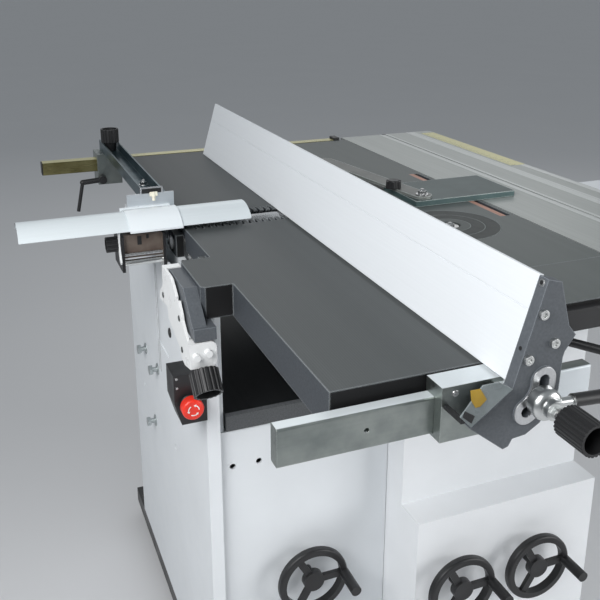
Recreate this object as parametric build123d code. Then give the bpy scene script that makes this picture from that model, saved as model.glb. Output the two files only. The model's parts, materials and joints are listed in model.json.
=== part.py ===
"""Combination woodworking machine: surface planer and thicknesser, circular saw, spindle
moulder and sliding table on one base.

Frame, in millimetres: +X runs from the planer to the sliding table, +Y runs along the tables
away from the infeed end, +Z is up. The origin is on the floor, in the middle of the machine's
bounding box.
"""
from build123d import *
import math
import os

os.makedirs("parts", exist_ok=True)

# Clearances that all pieces share
running_fit = 0.05
sliding_fit = 0.3
side_clear = 2.0
table_gap = 3.0
cut_over = 1.0

# Planer tables and cutter
table_top = 870.0
planer_left = -329.0
planer_width = 288.0
infeed_near = -541.0
outfeed_far = 640.0
table_plate = 14.0
skirt_depth = 38.0
infeed_skirt_depth = 50.0
skirt_wall = 10.0
rib_shares = (0.3, 0.6)
infeed_drop = 3.0
cutter_y = 101.0
cutter_radius = 35.0
knife_stand_out = 2.0
knife_height = 18.0
knife_thickness = 3.2
knife_turns = (45.0, 165.0, 285.0)
lip_clearance = 2.0
infeed_mouth = 23.0
outfeed_mouth = 18.0
comb_pitch = 12.0
comb_slot = 5.0
comb_depth = 20.0
journal_radius = 12.5
journal_end = 4.0

# Ear of the infeed table, the arm below it and the lever beside it
ear_near = -206.0
ear_length = 119.0
ear_reach = 46.0
ear_thickness = 48.0
ear_corner = 6.0
arm_reach = 20.0
arm_outline = ((-12.0, 42.0), (-96.0, 42.0), (-149.0, -7.0), (-149.0, -18.0), (-109.0, -18.0), (-12.0, 11.0))
arm_foot_length = 36.0
arm_foot_width = 32.0
lever_thickness = 4.0
lever_gap = 23.0
lever_pivot_inset = 41.0
lever_pivot_drop = 17.0
lever_pin_radius = 6.0
lever_pin_depth = 25.0
lever_outline = (
    (46.0, 12.0), (48.0, -20.0), (70.0, -38.0), (74.0, -51.0), (20.0, -45.0), (16.0, -62.0), (-18.0, -72.0),
    (-50.0, -80.0), (-59.0, -93.0), (-77.0, -96.0), (-110.0, -88.0), (-110.0, -60.0), (-88.0, -46.0),
    (-70.0, -31.0), (-68.0, -24.0), (-53.0, -8.0), (-38.0, -13.0), (-39.0, -7.0), (-23.0, 5.0), (-8.0, 12.0),
)
lever_tab_y = (31.0, 46.0)
lever_tab_z = (6.0, 12.0)
lever_tab_gap = 1.5
lever_hole_steps = ((46.0, -36.0), (-54.0, -34.0), (-64.0, -78.0))
lever_hole_radius = 5.0
fork_y = (-110.0, -86.0)
fork_z = (-88.0, -51.0)
fork_width = 38.0
fork_edge = 8.0
fork_stud_radius = 5.0
fork_stud_length = 9.0
fork_stud_steps = ((8.0, 19.0), (25.0, 23.0))
lever_knob_step = (-101.5, -97.5)
lever_knob_inset = 20.0
lever_knob_turn = 135.0
lever_knob_radius = 21.0
lever_knob_height = 34.0
lever_knob_ribs = 18
lever_boss_radius = 9.0
lever_boss_length = 18.0
knob_stud_radius = 4.0
knob_stud_length = 14.0
knob_dish_share = 0.8
knob_dish_depth = 12.0

# Planer frame and its panels
frame_wall = 10.0
frame_stand_off = 2.0
frame_near = -142.0
frame_far = 342.0
frame_drop = 55.0
skirt_gap = 4.0
lug_length = 60.0
infeed_lug_near = -120.0
outfeed_lug_near = 200.0
housing_half = 27.0
housing_rise = 19.0
panel_sheet = 4.0
side_panel_gap = 21.0
side_panel_lap = 18.0
side_panel_tail = 113.0
side_panel_drop = 3.0
shoulder_drop = 63.0
shoulder_near = -40.0
shoulder_run = 50.0
pressing_near = 92.0
pressing_width = 88.0
pressing_height = 192.0
pressing_depth = 2.0
panel_bolt_radius = 5.0
panel_bolt_head = 6.5
panel_bolt_stand = 11.0
panel_bolt_depth = 8.0
panel_washer_radius = 11.5
panel_washer_thickness = 1.8
panel_bolt_drops = ((310.0, 327.0), (197.0, 320.0), (248.0, 459.0))
panel_hole_drops = ((348.0, 427.0), (70.0, 417.0))
near_panel_drop = 273.0
near_hole_insets = (22.0, 66.0)
near_hole_drop = 64.0
near_hole_radius = 5.0

# Base
plinth_bottom = 25.0
plinth_height = 35.0
plinth_sheet = 5.0
foot_radius = 28.0
foot_pad = 12.0
foot_stem_radius = 10.0
foot_inset = 45.0

# Thicknesser
bed_drop = 240.0
bed_thickness = 30.0
bed_side_gap = 2.0
bed_overhang = 8.0
bed_chamfer = 4.0
bed_post_radius = 35.0
bed_post_length = 330.0
guide_wall = 8.0
guide_height = 500.0
guide_flange = 160.0
guide_flange_thickness = 12.0
roller_radius = 16.0
roller_journal = 8.0
roller_offset = 58.0
roller_drop = 58.0
roller_end_gap = 3.0
roller_grooves = 24
roller_groove_width = 1.6
roller_groove_depth = 1.2

# Planer drive
pulley_inset = 12.0
pulley_width = 16.0
pulley_radius = 14.0
motor_pulley_radius = 28.0
motor_z = 250.0
motor_gap = 14.0
motor_length = 136.0
motor_radius = 62.0
motor_fins = 12
motor_fin_height = 6.0
motor_fin_width = 4.0
motor_fin_inset = 20.0
motor_shaft_radius = 9.0
motor_shaft_depth = 36.0
motor_foot_inset = 30.0
motor_foot_half = 50.0
belt_thickness = 4.0
belt_inset = 3.0

# Handwheels
wheel_z = 300.0
wheel_radius = 62.0
wheel_rim = 12.0
wheel_depth = 14.0
wheel_edge = 4.0
wheel_hub_radius = 18.0
wheel_spoke = 12.0
wheel_spokes = 3
wheel_gap = 22.0
wheel_shaft_radius = 8.0
wheel_shaft_depth = 26.0
grip_radius = 9.0
grip_length = 46.0

# Saw table and cabinet
saw_width = 269.0
saw_near = -311.0
extension_length = 132.0
saw_skirt = 40.0
seat_size = 24.0
seat_inset = 6.0
seat_off_middle = 36.0
front_rail_depth = 12.0
front_rail_height = 30.0
front_rail_drop = 6.0
hand_bar_inset = 87.0
hand_bar_drop = 14.0
hand_bar_radius = 6.0
hand_bar_length = 120.0
hand_bar_turn = 31.5
cabinet_gap = 1.0
cabinet_overlap = 83.0
cabinet_near = -200.0
cabinet_far = 545.0
cabinet_drop = 70.0
cabinet_flange = 32.0
cabinet_ledge = 425.0
cabinet_step = 58.0
belt_window = 34.0
saw_wheel_inset = 72.0
spindle_wheel_inset = 222.0

# Saw
blade_inset = 12.0
blade_y = 90.0
blade_radius = 125.0
blade_thickness = 3.2
blade_teeth = 36
blade_gullet = 8.0
gullet_back_share = 0.16
gullet_front_share = 0.23
gullet_root_share = 0.02
blade_sunk = 30.0
arbor_radius = 15.0
arbor_depth = 20.0
arbor_end = 14.0
flange_radius = 40.0
flange_thickness = 6.0
nut_radius = 26.0
nut_thickness = 10.0
slot_half = 166.0
slot_left_of_blade = 15.5
slot_right_of_blade = 6.0
slot_ledge = 6.0
insert_width = 11.0
insert_thickness = 8.0
saw_motor_radius = 56.0
saw_motor_length = 110.0
saw_housing_radius = 26.0
saw_housing_length = 29.0
saw_housing_gap = 14.0
saw_post_half = 95.0
post_radius = 12.0
post_boss = 8.0
post_drop = 20.0
lug_height = 40.0
lug_web = 12.0

# Spindle moulder
spindle_inset = 132.0
spindle_y = -87.0
spindle_radius = 15.0
spindle_sunk = 2.0
spindle_socket = 7.0
spindle_socket_depth = 8.0
spindle_travel = 80.0
spindle_grip = 150.0
quill_radius = 38.0
quill_length = 222.0
quill_clear = 4.0
spindle_motor_radius = 62.0
spindle_motor_length = 150.0
spindle_post_half = 80.0
spindle_post_back = 73.0
ring_edges = (86.0, 60.0, 36.0)
ring_bore = 18.0
ring_ledge = 6.0
ring_thickness = 8.0

# Saw cover on its swinging arm
cover_left = 92.0
cover_width = 214.0
cover_near = 26.0
cover_length = 131.0
cover_lift = 0.6
cover_height = 11.0
cover_sheet = 2.0
cover_corner = 3.0
cover_pivot = (66.0, 380.0)
cover_joint = (117.0, 50.0)
cover_pin_radius = 6.0
cover_bar_width = 36.0
cover_bar_thickness = 5.0
cover_hub_radius = 18.0

# Sliding table
carriage_width = 257.0
carriage_near = -532.0
carriage_length = 1200.0
carriage_height = 58.0
carriage_wall = 6.0
groove_offsets = (119.0, 198.0)
groove_mouth = 12.0
groove_depth = 22.0
groove_foot = 20.0
beam_gap = 20.0
beam_width = 70.0
beam_height = 66.0
beam_wall = 5.0
beam_near = -300.0
beam_length = 860.0
rail_inset = 10.0
rail_width = 12.0
rail_height = 12.0
runner_wall = 6.0
runner_depth = 10.0
outrigger_y = 50.0
outrigger_width = 60.0
outrigger_reach = 105.0
outrigger_thickness = 26.0
outrigger_drop = 4.0
outrigger_corner = 12.0
beam_bracket_nears = (-120.0, 380.0)
beam_bracket_width = 60.0
beam_bracket_inset = 4.0

# Planer fence
fence_x = -148.0
fence_lift = 1.0
fence_height = 120.0
fence_depth = 26.0
fence_wall = 4.0
fence_near = -592.0
fence_length = 1200.0
fence_lean = 16.0
fence_top_width = 5.0
fence_shoulder = 73.0
fence_lower_cell = (32.0, 54.0)
fence_upper_cell = 77.0
fence_groove = (61.0, 69.0)
fence_groove_depth = 12.0
fence_line = 80.0
fence_line_width = 1.2
fence_line_depth = 0.5
bracket_thickness = 15.0
bracket_outline = (
    (0.0, 119.0), (18.0, 119.0), (46.0, 74.0), (59.0, 65.0), (52.0, 45.0), (52.0, 38.0), (61.0, 2.0),
    (51.0, -39.0), (37.0, -54.0), (21.5, -60.0), (19.5, -69.0), (13.5, -73.0), (-37.5, -52.0),
    (-13.0, -22.0), (0.0, -3.5),
)
tilt_slot_radius = 37.0
tilt_slot_width = 13.0
tilt_slot_low = -46.0
tilt_slot_high = 18.0
tilt_rim_width = 30.0
tilt_rim_height = 3.0
tilt_bolt_angle = -32.0
tilt_key_depth = 9.0
tilt_key_back = 12.0
tilt_key_forward = 4.0
fence_screw_head = 5.5
fence_screw_height = 4.0
fence_screw_socket = 3.0
fence_screw_places = ((7.0, 82.0), (7.0, 31.0), (33.5, 53.0))
bar_left = -396.0
bar_length = 388.0
bar_thickness = 18.0
bar_height = 45.0
bar_drop = 20.0
bar_edge = 3.0
bar_stand_off = 5.0
bar_boss_width = 30.0
bar_boss_inset = 13.0
bar_boss_lefts = (-300.0, -80.0)
bar_hole_inset = 100.0
bar_hole_radius = 3.0
bar_hole_depth = 9.0
slider_left = -216.0
slider_width = 76.0
slider_wall = 14.0
slider_cap = 17.0
slider_lip = 3.0
slider_arm_before_bolt = 35.0
slider_arm_beyond_bolt = 14.0
slider_arm_below_bolt = 27.0
slider_arm_above_bolt = 10.5
clamp_bolt_radius = 4.0
clamp_washer_radius = 16.0
clamp_washer_thickness = 3.4
clamp_nut_radius = 18.0
clamp_nut_length = 17.0
clamp_nut_dome = 8.0
clamp_collar_radius = 11.0
clamp_collar_length = 8.0
clamp_hex_radius = 7.5
clamp_hex_length = 6.0
clamp_neck_radius = 5.0
clamp_neck_end = 34.0
clamp_lever_radius = 7.5
clamp_lever_end = 112.0
clamp_lever_fall = 4.2
fence_knob_radius = 18.0
fence_knob_bore = 14.6
fence_knob_length = 42.0
fence_knob_base = 12.0
fence_knob_reach = 108.0
fence_knob_ribs = 24

# Cutter guard
guard_left = -596.0
guard_length = 383.0
guard_width = 92.0
guard_lift = 6.0
guard_rise = 20.0
guard_wall = 3.0
guard_corner = 4.0
sleeve_left = -422.0
sleeve_length = 88.0
sleeve_wall = 2.5
sleeve_lap = 0.5
sleeve_flange_rise = 14.0
guard_rail_left = -506.0
guard_rail_length = 713.0
guard_rail_tube = 28.0
guard_rail_wall = 2.5
guard_rail_edge = 2.0
guard_rail_gap = 6.0
rail_bracket_lefts = (-290.0, -110.0, 90.0)
rail_bracket_width = 40.0
rail_bracket_inset = 3.0
guard_arm_left = -371.0
guard_arm_width = 38.0
guard_arm_height = 22.0
guard_arm_sheet = 3.0
guard_arm_lift = 12.0
guard_arm_gap = 53.0
guard_plate_left = -408.0
guard_plate_width = 83.0
guard_plate_drop = 44.0
guard_plate_rise = 41.0
clamp_wall = 6.0
clamp_far_wall = 25.7
clamp_foot = 30.0
clamp_side = 16.0
clamp_knob_radius = 20.0
clamp_knob_height = 30.0
clamp_knob_cone = 20.0
clamp_knob_neck = 15.0
clamp_knob_foot = 12.0
clamp_knob_ribs = 18
handle_inset = 8.0
handle_rise = 13.5
handle_hub_radius = 9.0
handle_hub_length = 16.0
handle_pin_radius = 5.0
handle_grip_radius = 6.0
handle_grip_step = (-45.0, -3.0)
handle_rod_radius = 4.0
handle_rod_step = (-59.0, -69.0)
holder_left = -432.0
holder_width = 64.0
holder_near_gap = 39.0
holder_body_gap = 31.0
holder_height = 40.0
holder_drop = 4.0
holder_plate = 5.0
holder_plate_fall = 22.0
holder_plate_short = 20.0
holder_bar_radius = 5.0
holder_bar_steps = ((9.0, -8.0), (34.0, -18.0))
height_knob_radius = 13.0
height_knob_length = 22.0
height_knob_ribs = 12
height_knob_gap = 21.0
height_knob_drop = 20.0

# Emergency stop
stop_width = 49.0
stop_near = -165.0
stop_depth = 47.0
stop_drop = 234.0
stop_height = 82.0
stop_cut_height = 36.0
stop_cut_width = 10.0
stop_button_inset = 26.0
stop_button_rise = 34.0
stop_button_radius = 16.5
stop_button_height = 16.0
stop_button_edge = 4.0
stop_stem_radius = 8.0
stop_stem_depth = 22.0
stop_travel = 4.0
stop_spare = 3.0

# Places worked out from these sizes
planer_right = planer_left + planer_width
cutter_z = table_top - cutter_radius
cutter_body_radius = cutter_radius - knife_stand_out
infeed_top = table_top - infeed_drop
ear_far = ear_near + ear_length
ear_outside = planer_left - ear_reach
ear_bottom = infeed_top - ear_thickness
frame_top = table_top - frame_drop
left_frame = (planer_left - frame_stand_off - frame_wall, planer_left - frame_stand_off)
right_frame = (planer_right - frame_stand_off - frame_wall, planer_right - frame_stand_off)
left_skirt = (planer_left, planer_left + skirt_wall)
right_skirt = (right_frame[0] - skirt_gap - skirt_wall, right_frame[0] - skirt_gap)
planer_middle = (left_frame[1] + right_frame[0]) / 2
cutter_x = (left_skirt[1] - side_clear, right_skirt[0] + side_clear)
side_panel_x = left_frame[0] - side_panel_gap
side_panel_near = frame_near - side_panel_lap
side_panel_far = frame_far + side_panel_tail
side_panel_top = frame_top - side_panel_drop
side_panel_shoulder = frame_top - shoulder_drop
panel_bolt_places = [(y, table_top - drop) for y, drop in panel_bolt_drops]
panel_hole_places = [(y, table_top - drop) for y, drop in panel_hole_drops]
near_panel_top = table_top - near_panel_drop
near_panel_face = frame_near - panel_sheet
plinth_top = plinth_bottom + plinth_height
bed_top = table_top - bed_drop
roller_z = table_top - roller_drop
infeed_roller_place = (cutter_y - roller_offset, roller_z)
outfeed_roller_place = (cutter_y + roller_offset, roller_z)
saw_left = planer_right + table_gap
saw_right = saw_left + saw_width
extension_near = saw_near - extension_length
cabinet_left = right_frame[1] + cabinet_gap
cabinet_right = saw_right + cabinet_overlap
cabinet_top = table_top - cabinet_drop
cabinet_face = cabinet_near - cabinet_step
saw_wheel_x = cabinet_left + saw_wheel_inset
spindle_wheel_x = cabinet_left + spindle_wheel_inset
pulley_x = (saw_left + pulley_inset, saw_left + pulley_inset + pulley_width)
motor_x = (pulley_x[1] + motor_gap, pulley_x[1] + motor_gap + motor_length)
blade_x = saw_right - blade_inset
blade_z = table_top - blade_sunk - blade_radius
blade_sides = (blade_x - blade_thickness / 2, blade_x + blade_thickness / 2)
saw_housing_end = blade_x - saw_housing_gap
saw_motor_end = saw_housing_end - saw_housing_length
saw_middle_x = saw_motor_end - saw_motor_length / 2
saw_posts = ((saw_middle_x, blade_y - saw_post_half), (saw_middle_x, blade_y + saw_post_half))
slot_x = (blade_x - slot_left_of_blade, blade_x + slot_right_of_blade)
slot_y = (blade_y - slot_half, blade_y + slot_half)
spindle_x = saw_left + spindle_inset
spindle_place = (spindle_x, spindle_y)
spindle_post_y = spindle_y - spindle_post_back
spindle_posts = (
    (spindle_x - spindle_post_half, spindle_post_y),
    (spindle_x + spindle_post_half, spindle_post_y),
)
quill_top = table_top - ring_thickness - spindle_travel - quill_clear
quill_bottom = quill_top - quill_length
cover_bottom = table_top + cover_lift
cover_top = cover_bottom + cover_height
carriage_left = saw_right + table_gap
carriage_right = carriage_left + carriage_width
carriage_y = (carriage_near, carriage_near + carriage_length)
carriage_bottom = table_top - carriage_height
beam_left = cabinet_right + beam_gap
beam_top = carriage_bottom - rail_height
pivot_z = table_top + fence_lift
bracket_front = fence_near - bracket_thickness
rim_front = bracket_front - tilt_rim_height
bar_far = infeed_near - bar_stand_off
bar_near = bar_far - bar_thickness
bar_top = table_top - bar_drop
bar_bottom = bar_top - bar_height
slider_front = (bar_near - sliding_fit - slider_wall, bar_near - sliding_fit)
slider_top = bar_top + sliding_fit + slider_cap
slider_bottom = bar_bottom - sliding_fit - slider_lip
clamp_bolt_place = (
    fence_x + tilt_slot_radius * math.cos(math.radians(tilt_bolt_angle)),
    pivot_z + tilt_slot_radius * math.sin(math.radians(tilt_bolt_angle)),
)
clamp_washer_y = (rim_front - sliding_fit - clamp_washer_thickness, rim_front - sliding_fit)
clamp_nut_y = (clamp_washer_y[0] - sliding_fit - clamp_nut_length, clamp_washer_y[0] - sliding_fit)
guard_base = table_top + guard_lift
rail_near = outfeed_far + guard_rail_gap
rail_y = rail_near + guard_rail_tube / 2
rail_z = table_top - guard_rail_tube / 2
guard_arm_x = (guard_arm_left, guard_arm_left + guard_arm_width)
guard_arm_near = cutter_y + guard_arm_gap
guard_arm_bottom = table_top + guard_arm_lift
guard_arm_top = guard_arm_bottom + guard_arm_height
clamp_near = rail_near - sliding_fit - clamp_wall
clamp_far = rail_near + guard_rail_tube + sliding_fit + clamp_far_wall
clamp_bottom = table_top - guard_rail_tube - sliding_fit - clamp_foot
clamp_knob_place = (guard_arm_left + guard_arm_width / 2, rail_y)
handle_place = (guard_arm_left - handle_inset, clamp_bottom + handle_rise)
holder_x = (holder_left, holder_left + holder_width)
holder_near = cutter_y - holder_near_gap
holder_top = table_top - holder_drop
holder_bottom = holder_top - holder_height
height_knob_place = (cutter_y - height_knob_gap, table_top - height_knob_drop)
lever_x = (ear_outside - lever_gap - lever_thickness, ear_outside - lever_gap)
lever_pivot = (ear_far - lever_pivot_inset, infeed_top - lever_pivot_drop)
lever_knob_place = (lever_pivot[0] + lever_knob_step[0], lever_pivot[1] + lever_knob_step[1])
fence_knob_near = fence_near - fence_knob_reach
stop_x = (side_panel_x - stop_width, side_panel_x)
stop_y = (stop_near, stop_near + stop_depth)
stop_z = (table_top - stop_drop, table_top - stop_drop + stop_height)
stop_button_place = (side_panel_x - stop_button_inset, stop_z[0] + stop_button_rise)

# How a cylinder or cone stands on the XY plane, or hangs from it
standing = (Align.CENTER, Align.CENTER, Align.MIN)
hanging = (Align.CENTER, Align.CENTER, Align.MAX)


# Shapes that many pieces share

def block(x, y, z):
    """A box between three (low, high) pairs."""
    pairs = (x, y, z)
    middle = [(low + high) / 2 for low, high in pairs]
    size = [high - low for low, high in pairs]
    return Pos(*middle) * Box(*size)


def through(span):
    """A (low, high) span made longer at both ends, so that a cut goes right through."""
    return (span[0] - cut_over, span[1] + cut_over)


def inset(span, amount):
    """A (low, high) span made shorter at both ends."""
    return (span[0] + amount, span[1] - amount)


def around(middle, half):
    """The (low, high) span that reaches half to each side of its middle."""
    return (middle - half, middle + half)


def rod(axis, span, centre, radius):
    """A cylinder along an axis over a (low, high) span, at the other two coordinates."""
    middle = (span[0] + span[1]) / 2
    round_bar = Cylinder(radius, span[1] - span[0])
    if axis == "x":
        return Pos(middle, *centre) * Rot(0, 90, 0) * round_bar
    if axis == "y":
        return Pos(centre[0], middle, centre[1]) * Rot(90, 0, 0) * round_bar
    return Pos(*centre, middle) * round_bar


def slab(axis, span, outline):
    """A flat plate with a straight-sided outline, square to an axis over a (low, high) span."""
    if axis == "x":
        points = [(span[0], a, b) for a, b in outline]
        along = (1, 0, 0)
    elif axis == "y":
        points = [(a, span[0], b) for a, b in outline]
        along = (0, 1, 0)
    else:
        points = [(a, b, span[0]) for a, b in outline]
        along = (0, 0, 1)
    face = make_face(Polyline(*points, close=True))
    return extrude(face, amount=span[1] - span[0], dir=along)


def stepped(outline, start):
    """An outline given as steps from a starting point."""
    return [(start[0] + a, start[1] + b) for a, b in outline]


def link(start, end, radius):
    """A round bar between two points."""
    path = Line(start, end)
    return sweep(Plane(origin=start, z_dir=path % 0) * Circle(radius), path=path)


def group(shapes):
    """Separate solids kept side by side in one piece."""
    return Compound([shape.solid() for shape in shapes])


def ribbed_grip(radius, height, ribs, dish_radius, dish_depth):
    """A fluted grip that stands on the XY plane, dished at its free end."""
    flute = radius * math.pi / ribs / 2
    grip = Cylinder(radius, height, align=standing)
    grip -= [place * Cylinder(flute, 3 * height) for place in PolarLocations(radius, ribs)]
    return grip - Pos(0, 0, height) * Cylinder(dish_radius, 2 * dish_depth)


def dished_grip(radius, height, ribs):
    """A fluted grip with a dish in its free end."""
    return ribbed_grip(radius, height, ribs, knob_dish_share * radius, knob_dish_depth)


def studded_knob(radius, height, ribs):
    """A grip with its stud below the XY plane."""
    return dished_grip(radius, height, ribs) + Cylinder(knob_stud_radius, knob_stud_length, align=hanging)


def handwheel(shaft_length):
    """A spoked handwheel that stands on the XY plane, with a crank grip and its shaft below."""
    rim = Cylinder(wheel_radius, wheel_depth, align=standing)
    rim = fillet(rim.edges(), wheel_edge)
    wheel = rim - Cylinder(wheel_radius - wheel_rim, 3 * wheel_depth)
    spoke_z = inset((0, wheel_depth), wheel_depth / 4)
    rim_middle = wheel_radius - wheel_rim / 2
    for turn in range(wheel_spokes):
        spoke = block((0, rim_middle), around(0, wheel_spoke / 2), spoke_z)
        wheel += Rot(0, 0, 360 * turn / wheel_spokes) * spoke
    wheel += Cylinder(wheel_hub_radius, wheel_depth, align=standing)
    grip_z = (wheel_depth / 2, wheel_depth + grip_length)
    wheel += rod("z", grip_z, (rim_middle, 0), grip_radius)
    return wheel + Cylinder(wheel_shaft_radius, shaft_length, align=hanging)


def facing_operator(x, y, z):
    """Places a shape that stands on the XY plane so that it stands out along -Y."""
    return Pos(x, y, z) * Rot(90, 0, 0)


def panel_handwheel(x, face):
    """A handwheel whose shaft passes through a sheet panel, given the panel's outer face."""
    wheel = handwheel(wheel_gap + panel_sheet + wheel_shaft_depth)
    return facing_operator(x, face - wheel_gap, wheel_z) * wheel


# Base and planer body

def foot_places():
    """Where the feet stand: both sides, at the near end, the middle and the far end."""
    sides = (side_panel_x + foot_inset, cabinet_right - foot_inset)
    near = cabinet_face + foot_inset
    far = cabinet_far - foot_inset
    return [(x, y) for x in sides for y in (near, (near + far) / 2, far)]


def base_plinth():
    """A folded tray, open below, with a pad above each foot."""
    x = (side_panel_x, cabinet_right)
    y = (cabinet_face, cabinet_far)
    tray = block(x, y, (plinth_bottom, plinth_top))
    room_z = (plinth_bottom - cut_over, plinth_top - plinth_sheet)
    tray -= block(inset(x, plinth_sheet), inset(y, plinth_sheet), room_z)
    for place in foot_places():
        tray += rod("z", (plinth_bottom, plinth_top), place, foot_radius)
    return tray


def levelling_feet():
    feet = []
    for place in foot_places():
        pad = rod("z", (0, foot_pad), place, foot_radius)
        feet.append(pad + rod("z", (foot_pad, plinth_bottom), place, foot_stem_radius))
    return group(feet)


def frame_plates():
    """The two inner side plates that carry the tables, the cutter and the feed rollers."""
    plates = []
    slot_half_width = roller_journal + running_fit
    for wall in (left_frame, right_frame):
        plate = block(wall, (frame_near, frame_far), (plinth_top, frame_top))
        for place in (infeed_roller_place, outfeed_roller_place):
            plate -= rod("x", through(wall), place, slot_half_width)
            plate -= block(through(wall), around(place[0], slot_half_width), (place[1], frame_top + cut_over))
        plates.append(plate)
    bolt_room = (left_frame[0] - cut_over, left_frame[0] + panel_bolt_depth)
    for place in panel_bolt_places:
        plates[0] -= rod("x", bolt_room, place, panel_bolt_radius)
    return group(plates)


def planer_side_panel():
    """The folded white panel on the open side of the planer, with a pressing and return flanges."""
    sheet = (side_panel_x, side_panel_x + panel_sheet)
    outline = (
        (side_panel_near, plinth_top),
        (side_panel_far, plinth_top),
        (side_panel_far, side_panel_top),
        (shoulder_near + shoulder_run, side_panel_top),
        (shoulder_near, side_panel_shoulder),
        (side_panel_near, side_panel_shoulder),
    )
    panel = slab("x", sheet, outline)
    flange_x = (side_panel_x, left_frame[0])
    near_flange = (side_panel_near, side_panel_near + panel_sheet)
    far_flange = (side_panel_far - panel_sheet, side_panel_far)
    panel += block(flange_x, near_flange, (plinth_top, side_panel_shoulder))
    panel += block(flange_x, far_flange, (plinth_top, side_panel_top))
    pressing_x = (side_panel_x - cut_over, side_panel_x + pressing_depth)
    pressing_y = (pressing_near, pressing_near + pressing_width)
    panel -= block(pressing_x, pressing_y, (side_panel_top - pressing_height, side_panel_top + cut_over))
    for place in panel_bolt_places + panel_hole_places:
        panel -= rod("x", through(sheet), place, panel_bolt_radius + sliding_fit)
    return panel


def frame_bolts():
    """The long hexagon bolts, each with its washer, that hold the side panel on the frame plate."""
    length = left_frame[0] + panel_bolt_depth - side_panel_x
    bolts = []
    for place in panel_bolt_places:
        head = extrude(RegularPolygon(2 * panel_bolt_radius, 6), amount=panel_bolt_head)
        screw = Pos(0, 0, panel_bolt_stand) * head
        screw += Cylinder(panel_bolt_radius, panel_bolt_stand, align=standing)
        screw += Cylinder(panel_washer_radius, panel_washer_thickness, align=standing)
        screw += Cylinder(panel_bolt_radius, length, align=hanging)
        bolts.append(Pos(side_panel_x, *place) * Rot(0, -90, 0) * screw)
    return group(bolts)


def planer_near_panel():
    y = (near_panel_face, frame_near)
    panel = block((left_frame[0], right_frame[1]), y, (plinth_top, near_panel_top))
    for hole_inset in near_hole_insets:
        place = (left_frame[0] + hole_inset, near_panel_top - near_hole_drop)
        panel -= rod("y", through(y), place, near_hole_radius)
    return panel - rod("y", through(y), (planer_middle, wheel_z), wheel_shaft_radius + running_fit)


def planer_far_panel():
    y = (frame_far, frame_far + panel_sheet)
    return block((left_frame[0], right_frame[1]), y, (plinth_top, near_panel_top))


def bearing_housings():
    """Two pillow blocks that stand on the frame plates and carry the cutter."""
    housings = []
    for wall in (left_frame, right_frame):
        x = inset(wall, -frame_stand_off)
        housing = block(x, around(cutter_y, housing_half), (frame_top, cutter_z + housing_rise))
        housings.append(housing - rod("x", through(x), (cutter_y, cutter_z), journal_radius + running_fit))
    return group(housings)


def planer_table(y, top, lug_near, cutter_side):
    """A ribbed table plate with a comb lip beside the cutter and lugs on the frame plates."""
    table = block((planer_left, planer_right), y, (top - table_plate, top))
    skirt_z = (top - skirt_depth, top)
    inner_x = (left_skirt[0], right_skirt[1])
    for wall in (left_skirt, right_skirt):
        table += block(wall, y, skirt_z)
    end = (y[0], y[0] + skirt_wall) if cutter_side > 0 else (y[1] - skirt_wall, y[1])
    table += block(inner_x, end, skirt_z)
    for share in rib_shares:
        rib = y[0] + share * (y[1] - y[0])
        table += block(inner_x, (rib, rib + skirt_wall), skirt_z)
    for lug_x in ((left_frame[0], left_skirt[1]), (right_skirt[0], right_frame[1])):
        table += block(lug_x, (lug_near, lug_near + lug_length), (frame_top, top - table_plate / 2))
    cutter_room = through((left_frame[0], planer_right))
    table -= rod("x", cutter_room, (cutter_y, cutter_z), cutter_radius + lip_clearance)
    mouth = y[1] if cutter_side > 0 else y[0]
    comb_y = tuple(sorted((mouth + cutter_side * cut_over, mouth - cutter_side * comb_depth)))
    teeth = int((right_skirt[0] - left_skirt[1]) / comb_pitch)
    for tooth in range(teeth):
        slot = left_skirt[1] + (tooth + 0.5) * comb_pitch
        table -= block((slot, slot + comb_slot), comb_y, through(skirt_z))
    return table


def infeed_table():
    """The infeed table, with the ear that carries the lever and bosses for the fence's guide bar."""
    table = planer_table((infeed_near, cutter_y - infeed_mouth), infeed_top, infeed_lug_near, 1)
    inside = left_skirt[1]
    ear = (
        (inside, ear_near),
        (ear_outside + ear_corner, ear_near),
        (ear_outside, ear_near + ear_corner),
        (ear_outside, ear_far - ear_corner),
        (ear_outside + ear_corner, ear_far),
        (inside, ear_far),
    )
    table += slab("z", (ear_bottom, infeed_top), ear)
    deep_skirt_z = (infeed_top - infeed_skirt_depth, infeed_top)
    table += block(left_skirt, (infeed_near, ear_far), deep_skirt_z)
    pin_room = (ear_outside - cut_over, ear_outside + lever_pin_depth + cut_over)
    table -= rod("x", pin_room, lever_pivot, lever_pin_radius + running_fit)
    boss_z = inset((bar_bottom, bar_top), bar_boss_inset)
    for left in bar_boss_lefts:
        table += block((left, left + bar_boss_width), (bar_far, infeed_near + skirt_wall), boss_z)
    return table


def infeed_arm():
    """The dark casting on the side of the ear, beside the lever, with its foot below the ear."""
    left = ear_outside - arm_reach
    outline = stepped(arm_outline, (ear_far, ear_bottom))
    arm = slab("x", (left, ear_outside), outline)
    arm -= rod("x", through((left, ear_outside)), lever_pivot, lever_pin_radius + running_fit)
    near = min(y for y, z in outline)
    bottom = min(z for y, z in outline)
    return arm + block((left, left + arm_foot_width), (near, near + arm_foot_length), (bottom, ear_bottom))


def outfeed_table():
    return planer_table((cutter_y + outfeed_mouth, outfeed_far), table_top, outfeed_lug_near, -1)


def lever_knob_frame():
    """Where the lever's knob stands, and which way it points."""
    return Pos(lever_x[0] + lever_knob_inset, *lever_knob_place) * Rot(lever_knob_turn, 0, 0)


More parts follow.
